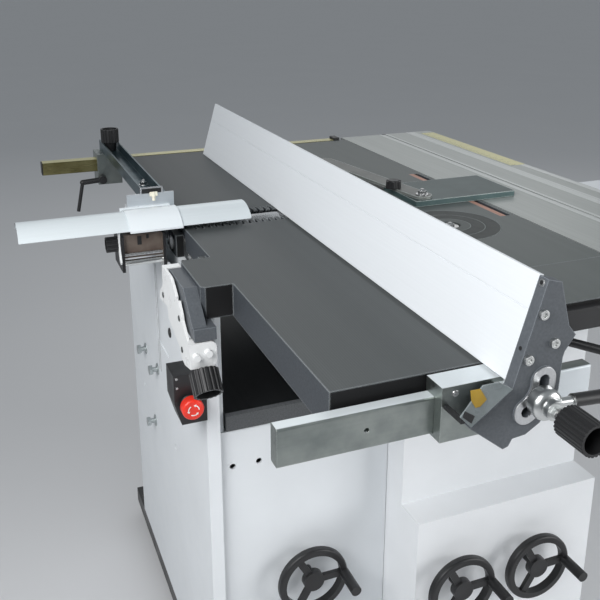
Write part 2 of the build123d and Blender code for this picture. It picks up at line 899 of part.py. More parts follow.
def infeed_lever():
    """The white cast lever: a plate on its pin, a tab above, and a fork below with two studs."""
    lever = slab("x", lever_x, stepped(lever_outline, lever_pivot))
    tab_y = [lever_pivot[0] + step for step in lever_tab_y]
    tab_z = [lever_pivot[1] + step for step in lever_tab_z]
    lever += block((lever_x[0], ear_outside - lever_tab_gap), tab_y, tab_z)
    y = [lever_pivot[0] + step for step in fork_y]
    z = [lever_pivot[1] + step for step in fork_z]
    fork = block((lever_x[0], lever_x[0] + fork_width), y, z)
    lever += fillet(fork.edges().filter_by(Axis.Y).group_by(Axis.X)[-1], fork_edge)
    for step in fork_stud_steps:
        place = (lever_x[0] + step[0], z[0] + step[1])
        lever += rod("y", (y[0] - fork_stud_length, y[0]), place, fork_stud_radius)
    lever += lever_knob_frame() * Cylinder(lever_boss_radius, lever_boss_length, align=hanging)
    for place in stepped(lever_hole_steps, lever_pivot):
        lever -= rod("x", through(lever_x), place, lever_hole_radius)
    lever -= lever_knob_frame() * Cylinder(knob_stud_radius + running_fit, 2 * (knob_stud_length + cut_over))
    return lever + rod("x", (lever_x[0], ear_outside + lever_pin_depth), lever_pivot, lever_pin_radius)


def lever_knob():
    knob = studded_knob(lever_knob_radius, lever_knob_height, lever_knob_ribs)
    return lever_knob_frame() * Pos(0, 0, sliding_fit) * knob


# Cutter, feed rollers and their drive

def knives():
    """Knives along the block, with their edges on the cutting circle."""
    blades = []
    for turn in knife_turns:
        knife_z = (cutter_radius - knife_height, cutter_radius)
        knife = block(cutter_x, around(0, knife_thickness / 2), knife_z)
        blades.append(Pos(0, cutter_y, cutter_z) * Rot(turn, 0, 0) * knife)
    return blades


def cutterblock():
    """The cutterblock with its journals and its pulley."""
    place = (cutter_y, cutter_z)
    body = rod("x", cutter_x, place, cutter_body_radius)
    body += rod("x", (left_frame[0] - journal_end, pulley_x[1]), place, journal_radius)
    body += rod("x", pulley_x, place, pulley_radius)
    return body - knives()


def planer_knives():
    return group(knives())


def feed_roller(place):
    """A grooved feed roller with its journals."""
    x = inset((left_frame[1], right_frame[0]), roller_end_gap)
    roller = rod("x", x, place, roller_radius)
    groove_z = (roller_radius - roller_groove_depth, roller_radius + cut_over)
    for groove in range(roller_grooves):
        cut = block(through(x), around(0, roller_groove_width / 2), groove_z)
        roller -= Pos(0, *place) * Rot(360 * groove / roller_grooves, 0, 0) * cut
    return roller + rod("x", (left_frame[0], right_frame[1]), place, roller_journal)


def planer_motor():
    """The finned planer motor on its foot."""
    place = (cutter_y, motor_z)
    motor = rod("x", motor_x, place, motor_radius)
    fin_z = (motor_radius - motor_fin_width, motor_radius + motor_fin_height)
    for fin in range(motor_fins):
        plate = block(inset(motor_x, motor_fin_inset), around(0, motor_fin_width / 2), fin_z)
        motor += Pos(0, *place) * Rot(360 * fin / motor_fins, 0, 0) * plate
    foot_z = (plinth_top, motor_z - motor_radius / 2)
    motor += block(inset(motor_x, motor_foot_inset), around(cutter_y, motor_foot_half), foot_z)
    shaft_room = (motor_x[0] - cut_over, motor_x[0] + motor_shaft_depth + cut_over)
    return motor - rod("x", shaft_room, place, motor_shaft_radius + running_fit)


def motor_pulley():
    place = (cutter_y, motor_z)
    pulley = rod("x", pulley_x, place, motor_pulley_radius)
    return pulley + rod("x", (pulley_x[0], motor_x[0] + motor_shaft_depth), place, motor_shaft_radius)


def belt_loop(growth, x):
    """The closed outline round both pulleys, grown outward, as a solid over an X span."""
    upper = Pos(cutter_y, cutter_z) * Circle(pulley_radius + growth)
    lower = Pos(cutter_y, motor_z) * Circle(motor_pulley_radius + growth)
    loop = make_hull((upper + lower).edges())
    return Pos(x[0], 0, 0) * extrude(Plane.YZ * loop, amount=x[1] - x[0])


def drive_belt():
    x = inset(pulley_x, belt_inset)
    return belt_loop(sliding_fit + belt_thickness, x) - belt_loop(sliding_fit, through(x))


# Thicknesser bed and the lift guides

def thicknesser_bed():
    """The rising bed with its round post."""
    x = inset((left_frame[1], right_frame[0]), bed_side_gap)
    y = inset((frame_near, frame_far), -bed_overhang)
    bottom = bed_top - bed_thickness
    bed = block(x, y, (bottom, bed_top))
    bed = chamfer(bed.edges().filter_by(Axis.X).group_by(Axis.Z)[-1], bed_chamfer)
    return bed + rod("z", (bottom - bed_post_length, bottom), (planer_middle, cutter_y), bed_post_radius)


def bed_guide():
    """The flanged sleeve on the base that guides the bed's post."""
    place = (planer_middle, cutter_y)
    z = (plinth_top, plinth_top + guide_height)
    sleeve = rod("z", z, place, bed_post_radius + guide_wall)
    flange_z = (plinth_top, plinth_top + guide_flange_thickness)
    sleeve += block(around(place[0], guide_flange / 2), around(place[1], guide_flange / 2), flange_z)
    return sleeve - rod("z", through(z), place, bed_post_radius + running_fit)


def lift_guides():
    """The bed's guide sleeve and the guide posts of the saw and the spindle, standing on the base."""
    guides = [bed_guide()]
    for place in saw_posts + spindle_posts:
        guides.append(rod("z", (plinth_top, cabinet_top - post_drop), place, post_radius))
    return group(guides)


# Saw cabinet, saw table and what they carry

def saw_cabinet():
    """The folded cabinet under the saw table: four walls, a step low on the near face, a top flange."""
    x = (cabinet_left, cabinet_right)
    y = (cabinet_near, cabinet_far)
    shell = block(x, y, (plinth_top, cabinet_top))
    shell += block(x, (cabinet_face, cabinet_near), (plinth_top, cabinet_ledge))
    inside_x = inset(x, panel_sheet)
    floor = plinth_top - cut_over
    shell -= block(inside_x, inset(y, panel_sheet), (floor, cabinet_top - panel_sheet))
    step_y = (cabinet_face + panel_sheet, cabinet_near + 2 * panel_sheet)
    shell -= block(inside_x, step_y, (floor, cabinet_ledge - panel_sheet))
    flange_z = through((cabinet_top - panel_sheet, cabinet_top))
    shell -= block(inset(x, cabinet_flange), inset(y, cabinet_flange), flange_z)
    window_x = (inside_x[0], cabinet_left + cabinet_flange + cut_over)
    shell -= block(window_x, around(cutter_y, belt_window), flange_z)
    wall = (cabinet_face, cabinet_face + panel_sheet)
    for wheel_x in (saw_wheel_x, spindle_wheel_x):
        shell -= rod("y", through(wall), (wheel_x, wheel_z), wheel_shaft_radius + running_fit)
    return shell


def skirted_plate(x, y):
    """A table plate with a skirt round its edge."""
    plate = block(x, y, (table_top - table_plate, table_top))
    skirt_z = (table_top - saw_skirt, table_top - table_plate)
    rim = block(x, y, skirt_z) - block(inset(x, skirt_wall), inset(y, skirt_wall), through(skirt_z))
    return plate + rim


def saw_table():
    """The saw table, with the spindle opening, the blade slot and the cover's pivot hole."""
    table = skirted_plate((saw_left, saw_right), (saw_near, outfeed_far))
    depth = (table_top - saw_skirt, table_top)
    table -= rod("z", through(depth), spindle_place, ring_edges[0] - ring_ledge)
    table -= rod("z", (table_top - ring_thickness, table_top + cut_over), spindle_place, ring_edges[0])
    table -= block(slot_x, slot_y, (table_top - insert_thickness, table_top + cut_over))
    table -= block((slot_x[0] + slot_ledge, slot_x[1]), slot_y, through(depth))
    shaft_room = (saw_left - cut_over, saw_left + skirt_wall + cut_over)
    table -= rod("x", shaft_room, (cutter_y, cutter_z), journal_radius + side_clear)
    return table - rod("z", through(depth), cover_pivot, cover_pin_radius + running_fit)


def table_extension():
    return skirted_plate((saw_left, saw_right), (extension_near, saw_near))


def front_rail():
    """The black bar along the near edge of the table extension, with a hand bar below it."""
    top = table_top - front_rail_drop
    bottom = top - front_rail_height
    y = (extension_near - front_rail_depth, extension_near)
    rail = block((saw_left, saw_right), y, (bottom, top))
    turn = math.radians(hand_bar_turn)
    start = (saw_left + hand_bar_inset, sum(y) / 2, bottom - hand_bar_drop)
    end = (start[0] + hand_bar_length * math.sin(turn), start[1] - hand_bar_length * math.cos(turn), start[2])
    rail += rod("z", (start[2], bottom + cut_over), start[:2], hand_bar_radius)
    rail += link(start, end, hand_bar_radius)
    for place in (start, end):
        rail += Pos(*place) * Sphere(hand_bar_radius)
    return rail


def slot_insert():
    """The wooden strip that fills the left side of the blade slot."""
    x = (slot_x[0] + sliding_fit, slot_x[0] + insert_width)
    return block(x, inset(slot_y, sliding_fit), (table_top - insert_thickness, table_top))


def spindle_rings():
    """Nested table rings, each resting on a ledge of the one round it."""
    step = table_top - ring_thickness / 2
    bottom = table_top - ring_thickness
    bores = ring_edges[1:] + (ring_bore,)
    rings = []
    for outer, bore in zip(ring_edges, bores):
        foot = outer - ring_ledge if rings else outer
        ring = rod("z", (step, table_top), spindle_place, outer - sliding_fit)
        ring += rod("z", (bottom, step), spindle_place, foot - sliding_fit)
        ring -= rod("z", (step, table_top + cut_over), spindle_place, bore)
        low_bore = bore if bore == ring_bore else bore - ring_ledge
        rings.append(ring - rod("z", (bottom - cut_over, table_top), spindle_place, low_bore))
    return group(rings)


def post_lugs(places, middle, z):
    """A web from the middle to a boss round each guide post."""
    web_half = lug_web / 2
    lugs = []
    for place in places:
        lugs.append(rod("z", z, place, post_radius + post_boss))
        x = inset(sorted((place[0], middle[0])), -web_half)
        y = inset(sorted((place[1], middle[1])), -web_half)
        lugs.append(block(x, y, inset(z, web_half)))
    return lugs


def post_bores(places):
    """What the guide posts take out of a unit that rises on them."""
    return [rod("z", (plinth_top, cabinet_top), place, post_radius + running_fit) for place in places]


def saw_unit():
    """The saw motor and arbor housing, which rise on two guide posts."""
    place = (blade_y, blade_z)
    unit = rod("x", (saw_motor_end - saw_motor_length, saw_motor_end), place, saw_motor_radius)
    unit += rod("x", (saw_motor_end, saw_housing_end), place, saw_housing_radius)
    unit += post_lugs(saw_posts, (saw_middle_x, blade_y), around(blade_z, lug_height / 2))
    unit -= post_bores(saw_posts)
    arbor_room = (saw_motor_end - arbor_depth - cut_over, saw_housing_end + cut_over)
    return unit - rod("x", arbor_room, place, arbor_radius + running_fit)


def saw_blade():
    """The toothed blade and, as a solid of its own, the arbor with its flange and nut."""
    place = (blade_y, blade_z)
    blade = rod("x", blade_sides, place, blade_radius)
    pitch = 2 * math.pi * blade_radius / blade_teeth
    tip = blade_radius + cut_over
    root = blade_radius - blade_gullet
    back = -gullet_back_share * pitch
    front = gullet_front_share * pitch
    gullet = ((back, tip), (front, tip), (gullet_root_share * pitch, root))
    notch = slab("x", through(blade_sides), gullet)
    blade -= [Pos(0, *place) * Rot(360 * tooth / blade_teeth, 0, 0) * notch for tooth in range(blade_teeth)]
    blade -= rod("x", through(blade_sides), place, arbor_radius)
    arbor = rod("x", (saw_motor_end - arbor_depth, blade_x + arbor_end), place, arbor_radius)
    arbor += rod("x", (blade_sides[0] - flange_thickness, blade_sides[0]), place, flange_radius)
    arbor += rod("x", (blade_sides[1], blade_sides[1] + nut_thickness), place, nut_radius)
    return group([blade, arbor])


def spindle_unit():
    """The spindle quill and its motor, which rise on two guide posts."""
    unit = rod("z", (quill_bottom, quill_top), spindle_place, quill_radius)
    unit += rod("z", (quill_bottom - spindle_motor_length, quill_bottom), spindle_place, spindle_motor_radius)
    lug_z = (quill_bottom + lug_height, quill_bottom + 2 * lug_height)
    unit += post_lugs(spindle_posts, spindle_place, lug_z)
    unit -= post_bores(spindle_posts)
    shaft_room = through((quill_top - spindle_grip, quill_top))
    return unit - rod("z", shaft_room, spindle_place, spindle_radius + running_fit)


def spindle_shaft():
    """The spindle, with a hexagon socket in its top."""
    top = table_top - spindle_sunk
    shaft = rod("z", (quill_top - spindle_grip, top), spindle_place, spindle_radius)
    socket = extrude(RegularPolygon(spindle_socket, 6), amount=spindle_socket_depth + cut_over)
    return shaft - Pos(*spindle_place, top - spindle_socket_depth) * socket


def saw_cover():
    """The zinc cover over the blade slot: a shallow folded tray, open below."""
    x = (cover_left, cover_left + cover_width)
    y = (cover_near, cover_near + cover_length)
    cover = block(x, y, (cover_bottom, cover_top))
    cover = fillet(cover.edges().filter_by(Axis.Z), cover_corner)
    room_z = (cover_bottom - cut_over, cover_top - cover_sheet)
    room = block(inset(x, cover_sheet), inset(y, cover_sheet), room_z)
    return cover - fillet(room.edges().filter_by(Axis.Z), cover_corner - cover_sheet)


def cover_arm():
    """The flat arm of the saw cover, with the pin that it swings on."""
    z = (cover_top, cover_top + cover_bar_thickness)
    along = math.atan2(cover_joint[1] - cover_pivot[1], cover_joint[0] - cover_pivot[0])
    bar = block((0, math.dist(cover_pivot, cover_joint)), around(0, cover_bar_width / 2), z)
    arm = Pos(*cover_pivot, 0) * Rot(0, 0, math.degrees(along)) * bar
    arm += rod("z", z, cover_joint, cover_hub_radius)
    arm += rod("z", (cover_bottom, z[1]), cover_pivot, cover_hub_radius)
    return arm + rod("z", (table_top - table_plate, cover_top), cover_pivot, cover_pin_radius)


# Sliding table

def beam_rails():
    """The X spans of the two rails on the beam."""
    left = beam_left + rail_inset
    right = beam_left + beam_width - rail_inset - rail_width
    return ((left, left + rail_width), (right, right + rail_width))


def sliding_carriage():
    """The long extruded carriage: a hollow section with T grooves above and runners below."""
    over = through(carriage_y)
    body = block((carriage_left, carriage_right), carriage_y, (carriage_bottom, table_top))
    grooves = [carriage_left + offset for offset in groove_offsets]
    for groove in grooves:
        mouth_z = (table_top - groove_depth, table_top + cut_over)
        foot_z = (table_top - groove_depth, table_top - groove_depth / 2)
        body -= block(around(groove, groove_mouth / 2), over, mouth_z)
        body -= block(around(groove, groove_foot / 2), over, foot_z)
    side = groove_foot / 2 + carriage_wall
    lows = [carriage_left + carriage_wall] + [groove + side for groove in grooves]
    highs = [groove - side for groove in grooves] + [carriage_right - carriage_wall]
    for cell in zip(lows, highs):
        body -= block(cell, over, inset((carriage_bottom, table_top), carriage_wall))
    runner_z = (carriage_bottom - runner_depth, carriage_bottom)
    for rail in beam_rails():
        room = inset(rail, -sliding_fit)
        body += block((room[0] - runner_wall, room[0]), carriage_y, runner_z)
        body += block((room[1], room[1] + runner_wall), carriage_y, runner_z)
    return body


def slide_beam():
    """The hollow beam with two rails that the carriage runs on."""
    x = (beam_left, beam_left + beam_width)
    y = (beam_near, beam_near + beam_length)
    z = (beam_top - beam_height, beam_top)
    beam = block(x, y, z)
    for rail in beam_rails():
        beam += block(rail, y, (beam_top, carriage_bottom - sliding_fit))
    return beam - block(inset(x, beam_wall), through(y), inset(z, beam_wall))


def outrigger_bracket():
    """The white slab on the outer side of the carriage."""
    x = (carriage_right, carriage_right + outrigger_reach)
    top = table_top - outrigger_drop
    bracket = block(x, around(outrigger_y, outrigger_width / 2), (top - outrigger_thickness, top))
    return fillet(bracket.edges().filter_by(Axis.Z).group_by(Axis.X)[-1], outrigger_corner)


def support_brackets():
    """The blocks that hold the guard rail on the tables, the beam and the saw table on the cabinet."""
    blocks = []
    seat_lefts = (
        saw_left + skirt_wall,
        (saw_left + saw_right) / 2 - seat_off_middle - seat_size / 2,
        saw_right - skirt_wall - seat_size,
    )
    seat_nears = (cabinet_near + seat_inset, cabinet_far - seat_inset - seat_size)
    for left in seat_lefts:
        for near in seat_nears:
            seat_z = (cabinet_top, table_top - table_plate)
            blocks.append(block((left, left + seat_size), (near, near + seat_size), seat_z))
    rail_side = inset((table_top - guard_rail_tube, table_top), rail_bracket_inset)
    for left in rail_bracket_lefts:
        blocks.append(block((left, left + rail_bracket_width), (outfeed_far, rail_near), rail_side))
    beam_side = inset((beam_top - beam_height, beam_top), beam_bracket_inset)
    for near in beam_bracket_nears:
        blocks.append(block((cabinet_right, beam_left), (near, near + beam_bracket_width), beam_side))
    return group(blocks)


# Planer fence

def in_fence_frame(shape):
    """Leans a shape that was drawn upright with the tilt axis at X=0, Z=0."""
    return Pos(fence_x, 0, pivot_z) * Rot(0, fence_lean, 0) * shape


def fence_profile():
    """The extruded fence: hollow, thin on top, bevelled below so that it can lean, with a groove behind."""
    y = (fence_near, fence_near + fence_length)
    outline = (
        (0, 0),
        (0, fence_height),
        (fence_top_width, fence_height),
        (fence_depth, fence_shoulder),
        (fence_depth, fence_depth),
    )
    profile = slab("y", y, outline)
    profile -= block(inset((0, fence_depth), fence_wall), through(y), fence_lower_cell)
    slope = (fence_height - fence_shoulder) / (fence_depth - fence_top_width)
    back = fence_depth - (fence_upper_cell - fence_shoulder) / slope - fence_wall * math.hypot(1, 1 / slope)
    peak = fence_upper_cell + (back - fence_wall) * slope
    cell = ((fence_wall, fence_upper_cell), (fence_wall, peak), (back, fence_upper_cell))
    profile -= slab("y", through(y), cell)
    profile -= block((fence_depth - fence_groove_depth, fence_depth + cut_over), through(y), fence_groove)
    profile -= block((-cut_over, fence_line_depth), through(y), (fence_line, fence_line + fence_line_width))
    return in_fence_frame(profile)


def curved_slot(y, width, low, high):
    """A slot with round ends that runs round the tilt axis between two angles, as a solid."""
    half = width / 2
    ring = rod("y", y, (0, 0), tilt_slot_radius + half) - rod("y", y, (0, 0), tilt_slot_radius - half)
    reach = 2 * (tilt_slot_radius + width)
    turns = (low, (low + high) / 2, high)
    rays = [(math.cos(math.radians(turn)), math.sin(math.radians(turn))) for turn in turns]
    slot = ring & slab("y", y, [(0, 0)] + [(reach * a, reach * b) for a, b in rays])
    for a, b in (rays[0], rays[-1]):
        slot += rod("y", y, (tilt_slot_radius * a, tilt_slot_radius * b), half)
    return slot


def fence_bracket():
    """The dark cast plate on the end of the fence, with the curved slot that it tilts on."""
    plate = slab("y", (bracket_front, fence_near), bracket_outline)
    plate += curved_slot((rim_front, fence_near), tilt_rim_width, tilt_slot_low, tilt_slot_high)
    plate -= curved_slot(through((rim_front, fence_near)), tilt_slot_width, tilt_slot_low, tilt_slot_high)
    return in_fence_frame(plate)


def fence_screws():
    """Socket screws on the face of the bracket."""
    screws = []
    y = (bracket_front - fence_screw_height, bracket_front)
    for place in fence_screw_places:
        socket = extrude(RegularPolygon(fence_screw_socket, 6), amount=fence_screw_height / 2, both=True)
        head = rod("y", y, place, fence_screw_head) - facing_operator(place[0], y[0], place[1]) * socket
        screws.append(in_fence_frame(head))
    return group(screws)


def fence_guide_bar():
    """The flat bar across the end of the infeed table that the fence slides on."""
    bar = block((bar_left, bar_left + bar_length), (bar_near, bar_far), (bar_bottom, bar_top))
    bar = fillet(bar.edges().filter_by(Axis.X), bar_edge)
    hole_y = (bar_near - cut_over, bar_near + bar_hole_depth)
    return bar - rod("y", hole_y, (bar_left + bar_hole_inset, (bar_bottom + bar_top) / 2), bar_hole_radius)


def fence_carriage():
    """The slider round the guide bar, its arm behind the bracket, and the curved key in the slot."""
    x = (slider_left, slider_left + slider_width)
    wrap_y = (slider_front[0], bar_far)
    slider = block(x, slider_front, (slider_bottom, slider_top))
    slider += block(x, wrap_y, (bar_top + sliding_fit, slider_top))
    slider += block(x, wrap_y, (slider_bottom, bar_bottom - sliding_fit))
    bolt_x, bolt_z = clamp_bolt_place
    arm_x = (bolt_x - slider_arm_before_bolt, bolt_x + slider_arm_beyond_bolt)
    arm_z = (bolt_z - slider_arm_below_bolt, bolt_z + slider_arm_above_bolt)
    slider += block(arm_x, (fence_near + sliding_fit, slider_front[1]), arm_z)
    key_y = (fence_near - tilt_key_depth, slider_front[0])
    key_turns = (tilt_bolt_angle - tilt_key_back, tilt_bolt_angle + tilt_key_forward)
    key = curved_slot(key_y, tilt_slot_width - 2 * running_fit, *key_turns)
    slider += Pos(fence_x, 0, pivot_z) * key
    return slider - rod("y", (key_y[0] - cut_over, slider_front[0]), clamp_bolt_place, clamp_bolt_radius)


def fence_clamp_bolt():
    """The bolt through the curved slot, with its washer on the slot's rim."""
    bolt_y = (fence_knob_near + fence_knob_length - fence_knob_base, slider_front[0])
    bolt = rod("y", bolt_y, clamp_bolt_place, clamp_bolt_radius)
    return bolt + rod("y", clamp_washer_y, clamp_bolt_place, clamp_washer_radius)


def clamp_lever_point(reach):
    """A point on the middle line of the clamp lever, at a reach from the bolt."""
    fall = reach * math.tan(math.radians(clamp_lever_fall))
    middle = (clamp_nut_y[0] + clamp_nut_y[1]) / 2
    return (clamp_bolt_place[0] + reach, middle, clamp_bolt_place[1] - fall)


def fence_clamp_lever():
    """The domed clamp nut with its collar and hexagon end, its neck and its round lever."""
    nut = rod("y", clamp_nut_y, clamp_bolt_place, clamp_nut_radius)
    nut = fillet(nut.edges().group_by(Axis.Y)[0], clamp_nut_dome)
    collar = Cylinder(clamp_collar_radius, clamp_collar_length, align=standing)
    hexagon = extrude(RegularPolygon(clamp_hex_radius, 6), amount=clamp_collar_length + clamp_hex_length)
    nut += facing_operator(clamp_bolt_place[0], clamp_nut_y[0], clamp_bolt_place[1]) * (collar + hexagon)
    nut += link(clamp_lever_point(0), clamp_lever_point(clamp_neck_end + cut_over), clamp_neck_radius)
    nut += link(clamp_lever_point(clamp_neck_end), clamp_lever_point(clamp_lever_end), clamp_lever_radius)
    nut += Pos(*clamp_lever_point(clamp_lever_end)) * Sphere(clamp_lever_radius)
    bore_y = through((clamp_nut_y[0] - clamp_collar_length - clamp_hex_length, clamp_nut_y[1]))
    return nut - rod("y", bore_y, clamp_bolt_place, clamp_bolt_radius + running_fit)


def fence_knob():
    """The ribbed hollow knob on the end of the clamp bolt."""
    hollow = fence_knob_length - fence_knob_base
    grip = ribbed_grip(fence_knob_radius, fence_knob_length, fence_knob_ribs, fence_knob_bore, hollow)
    grip -= Cylinder(clamp_bolt_radius + running_fit, 2 * fence_knob_length)
    back = fence_knob_near + fence_knob_length
    return facing_operator(clamp_bolt_place[0], back, clamp_bolt_place[1]) * grip


# Cutter guard

def arch(x, half_width, rise, wall):
    """An arched strip over the cutter, from its X span, half its width, its rise and its wall."""
    low, high = around(cutter_y, half_width)

    def point(y, lift):
        return (x[0], y, guard_base + lift)

    outer = ThreePointArc(point(low, 0), point(cutter_y, rise), point(high, 0))
    inner = ThreePointArc(point(low + wall, 0), point(cutter_y, rise - wall), point(high - wall, 0))
    near_foot = Line(point(low, 0), point(low + wall, 0))
    far_foot = Line(point(high, 0), point(high - wall, 0))
    face = make_face([outer, far_foot, inner, near_foot])
    return extrude(face, amount=x[1] - x[0], dir=(1, 0, 0))


def guard_profile():
    """The arched aluminium strip over the cutter, rounded at its inner end."""
    x = (guard_left, guard_left + guard_length)
    strip = arch(x, guard_width / 2, guard_rise, guard_wall)
    plan = block(x, around(cutter_y, guard_width / 2), through((guard_base, guard_base + guard_rise)))
    return strip & fillet(plan.edges().filter_by(Axis.Z).group_by(Axis.X)[-1], guard_corner)


def guard_sleeve():
    """The sleeve that the guard slides through, with the flange that runs on the arm's plate."""
    x = (sleeve_left, sleeve_left + sleeve_length)
    side = guard_width / 2 + sliding_fit + sleeve_wall
    sleeve = arch(x, side, guard_rise + sliding_fit + sleeve_wall, sleeve_wall)
    y = around(cutter_y, side)
    floor_z = (guard_base - sliding_fit - sleeve_wall, guard_base - sliding_fit)
    sleeve += block(x, y, floor_z)
    for edge in ((y[0], y[0] + sleeve_wall), (y[1] - sleeve_wall, y[1])):
        sleeve += block(x, edge, (floor_z[0], guard_base + sleeve_lap))
    flange_y = (y[1] - sleeve_wall, guard_arm_near - sliding_fit)
    return sleeve + block(x, flange_y, (floor_z[0], guard_base + sleeve_flange_rise))


def guard_arm():
    """The zinc channel from the rail clamp to the cutter, with its upright end plate."""
    y = (guard_arm_near, clamp_far)
    z = (guard_arm_bottom, guard_arm_top)
    channel = block(guard_arm_x, y, z)
    room_z = (guard_arm_bottom + guard_arm_sheet, guard_arm_top + cut_over)
    channel -= block(inset(guard_arm_x, guard_arm_sheet), through(y), room_z)
    plate_y = (guard_arm_near, guard_arm_near + guard_arm_sheet)
    plate_x = (guard_plate_left, guard_plate_left + guard_plate_width)
    channel += block(plate_x, plate_y, (guard_arm_bottom, table_top + guard_plate_rise))
    tongue_x = (guard_plate_left, guard_arm_x[1])
    channel += block(tongue_x, plate_y, (table_top - guard_plate_drop, guard_arm_bottom))
    return channel - rod("z", through(z), clamp_knob_place, knob_stud_radius + running_fit)


def guard_clamp():
    """The block that slides on the guard rail and carries the arm."""
    x = (guard_arm_left - clamp_side, guard_arm_x[1])
    clamp = block(x, (clamp_near, clamp_far), (clamp_bottom, guard_arm_bottom))
    opening = guard_rail_tube / 2 + sliding_fit
    clamp -= block(through(x), around(rail_y, opening), around(rail_z, opening))
    pin_room = (clamp_near - cut_over, clamp_near + clamp_wall + sliding_fit)
    return clamp - rod("y", pin_room, handle_place, handle_pin_radius + running_fit)


def clamp_knob():
    """The knob in the arm's channel, drawn in below its grip, with its stud down to the clamp."""
    knob = Cone(clamp_knob_foot, clamp_knob_neck, clamp_knob_cone, align=standing)
    knob += Pos(0, 0, clamp_knob_cone) * dished_grip(clamp_knob_radius, clamp_knob_height, clamp_knob_ribs)
    knob += Cylinder(knob_stud_radius, guard_arm_sheet, align=hanging)
    return Pos(*clamp_knob_place, guard_arm_bottom + guard_arm_sheet + sliding_fit) * knob


def clamp_handle():
    """The black handle of the rail clamp: a hub, a level grip and a rod that hangs from it."""
    hub_y = (clamp_near - sliding_fit - handle_hub_length, clamp_near - sliding_fit)
    middle = (hub_y[0] + hub_y[1]) / 2
    start = (handle_place[0], middle, handle_place[1])
    grip_end = (start[0] + handle_grip_step[0], middle, start[2] + handle_grip_step[1])
    rod_end = (start[0] + handle_rod_step[0], middle, start[2] + handle_rod_step[1])
    handle = rod("y", hub_y, handle_place, handle_hub_radius)
    handle += link(start, grip_end, handle_grip_radius)
    handle += Pos(*grip_end) * Sphere(handle_grip_radius)
    handle += link(grip_end, rod_end, handle_rod_radius)
    return handle + rod("y", (hub_y[0], clamp_near + clamp_wall - cut_over), handle_place, handle_pin_radius)


def guard_holder():
    """The guard's height slide below the sleeve: a body, two end plates and two bars."""
    body = block(holder_x, (cutter_y - holder_body_gap, guard_arm_near), (holder_bottom, holder_top))
    plate_y = (holder_near, guard_arm_near - holder_plate_short)
    plate_z = (holder_bottom - holder_plate_fall, holder_top)
    for x in ((holder_x[0] - holder_plate, holder_x[0]), (holder_x[1], holder_x[1] + holder_plate)):
        body += block(x, plate_y, plate_z)
    for place in stepped(holder_bar_steps, (holder_near, holder_bottom)):
        body += rod("x", holder_x, place, holder_bar_radius)
    face = holder_x[0] - holder_plate
    stud_room = through((face, face + knob_stud_length))
    return body - rod("x", stud_room, height_knob_place, knob_stud_radius + running_fit)


def height_knob():
    knob = studded_knob(height_knob_radius, height_knob_length, height_knob_ribs)
    return Pos(holder_x[0] - holder_plate - sliding_fit, *height_knob_place) * Rot(0, -90, 0) * knob


def guard_rail():
    """The square tube across the far end of the tables."""
    x = (guard_rail_left, guard_rail_left + guard_rail_length)
    half = guard_rail_tube / 2
    tube = block(x, around(rail_y, half), around(rail_z, half))
    tube = fillet(tube.edges().filter_by(Axis.X), guard_rail_edge)
    bore = half - guard_rail_wall
    return tube - block(through(x), around(rail_y, bore), around(rail_z, bore))


# Emergency stop

def estop_box():
    """The black switch box, drawn in at its lower outer corner."""
    outline = (
        (stop_x[0] + stop_cut_width, stop_z[0]),
        (stop_x[1], stop_z[0]),
        (stop_x[1], stop_z[1]),
        (stop_x[0], stop_z[1]),
        (stop_x[0], stop_z[0] + stop_cut_height),
    )
    stem_room = (stop_near - cut_over, stop_near + stop_stem_depth + stop_travel + cut_over)
    return slab("y", stop_y, outline) - rod("y", stem_room, stop_button_place, stop_stem_radius + running_fit)


def estop_button():
    """The mushroom button on its stem."""
    back = stop_near - stop_travel - stop_spare
    head = rod("y", (back - stop_button_height, back), stop_button_place, stop_button_radius)
    head = fillet(head.edges().group_by(Axis.Y)[0], stop_button_edge)
    return head + rod("y", (back, stop_near + stop_stem_depth), stop_button_place, stop_stem_radius)


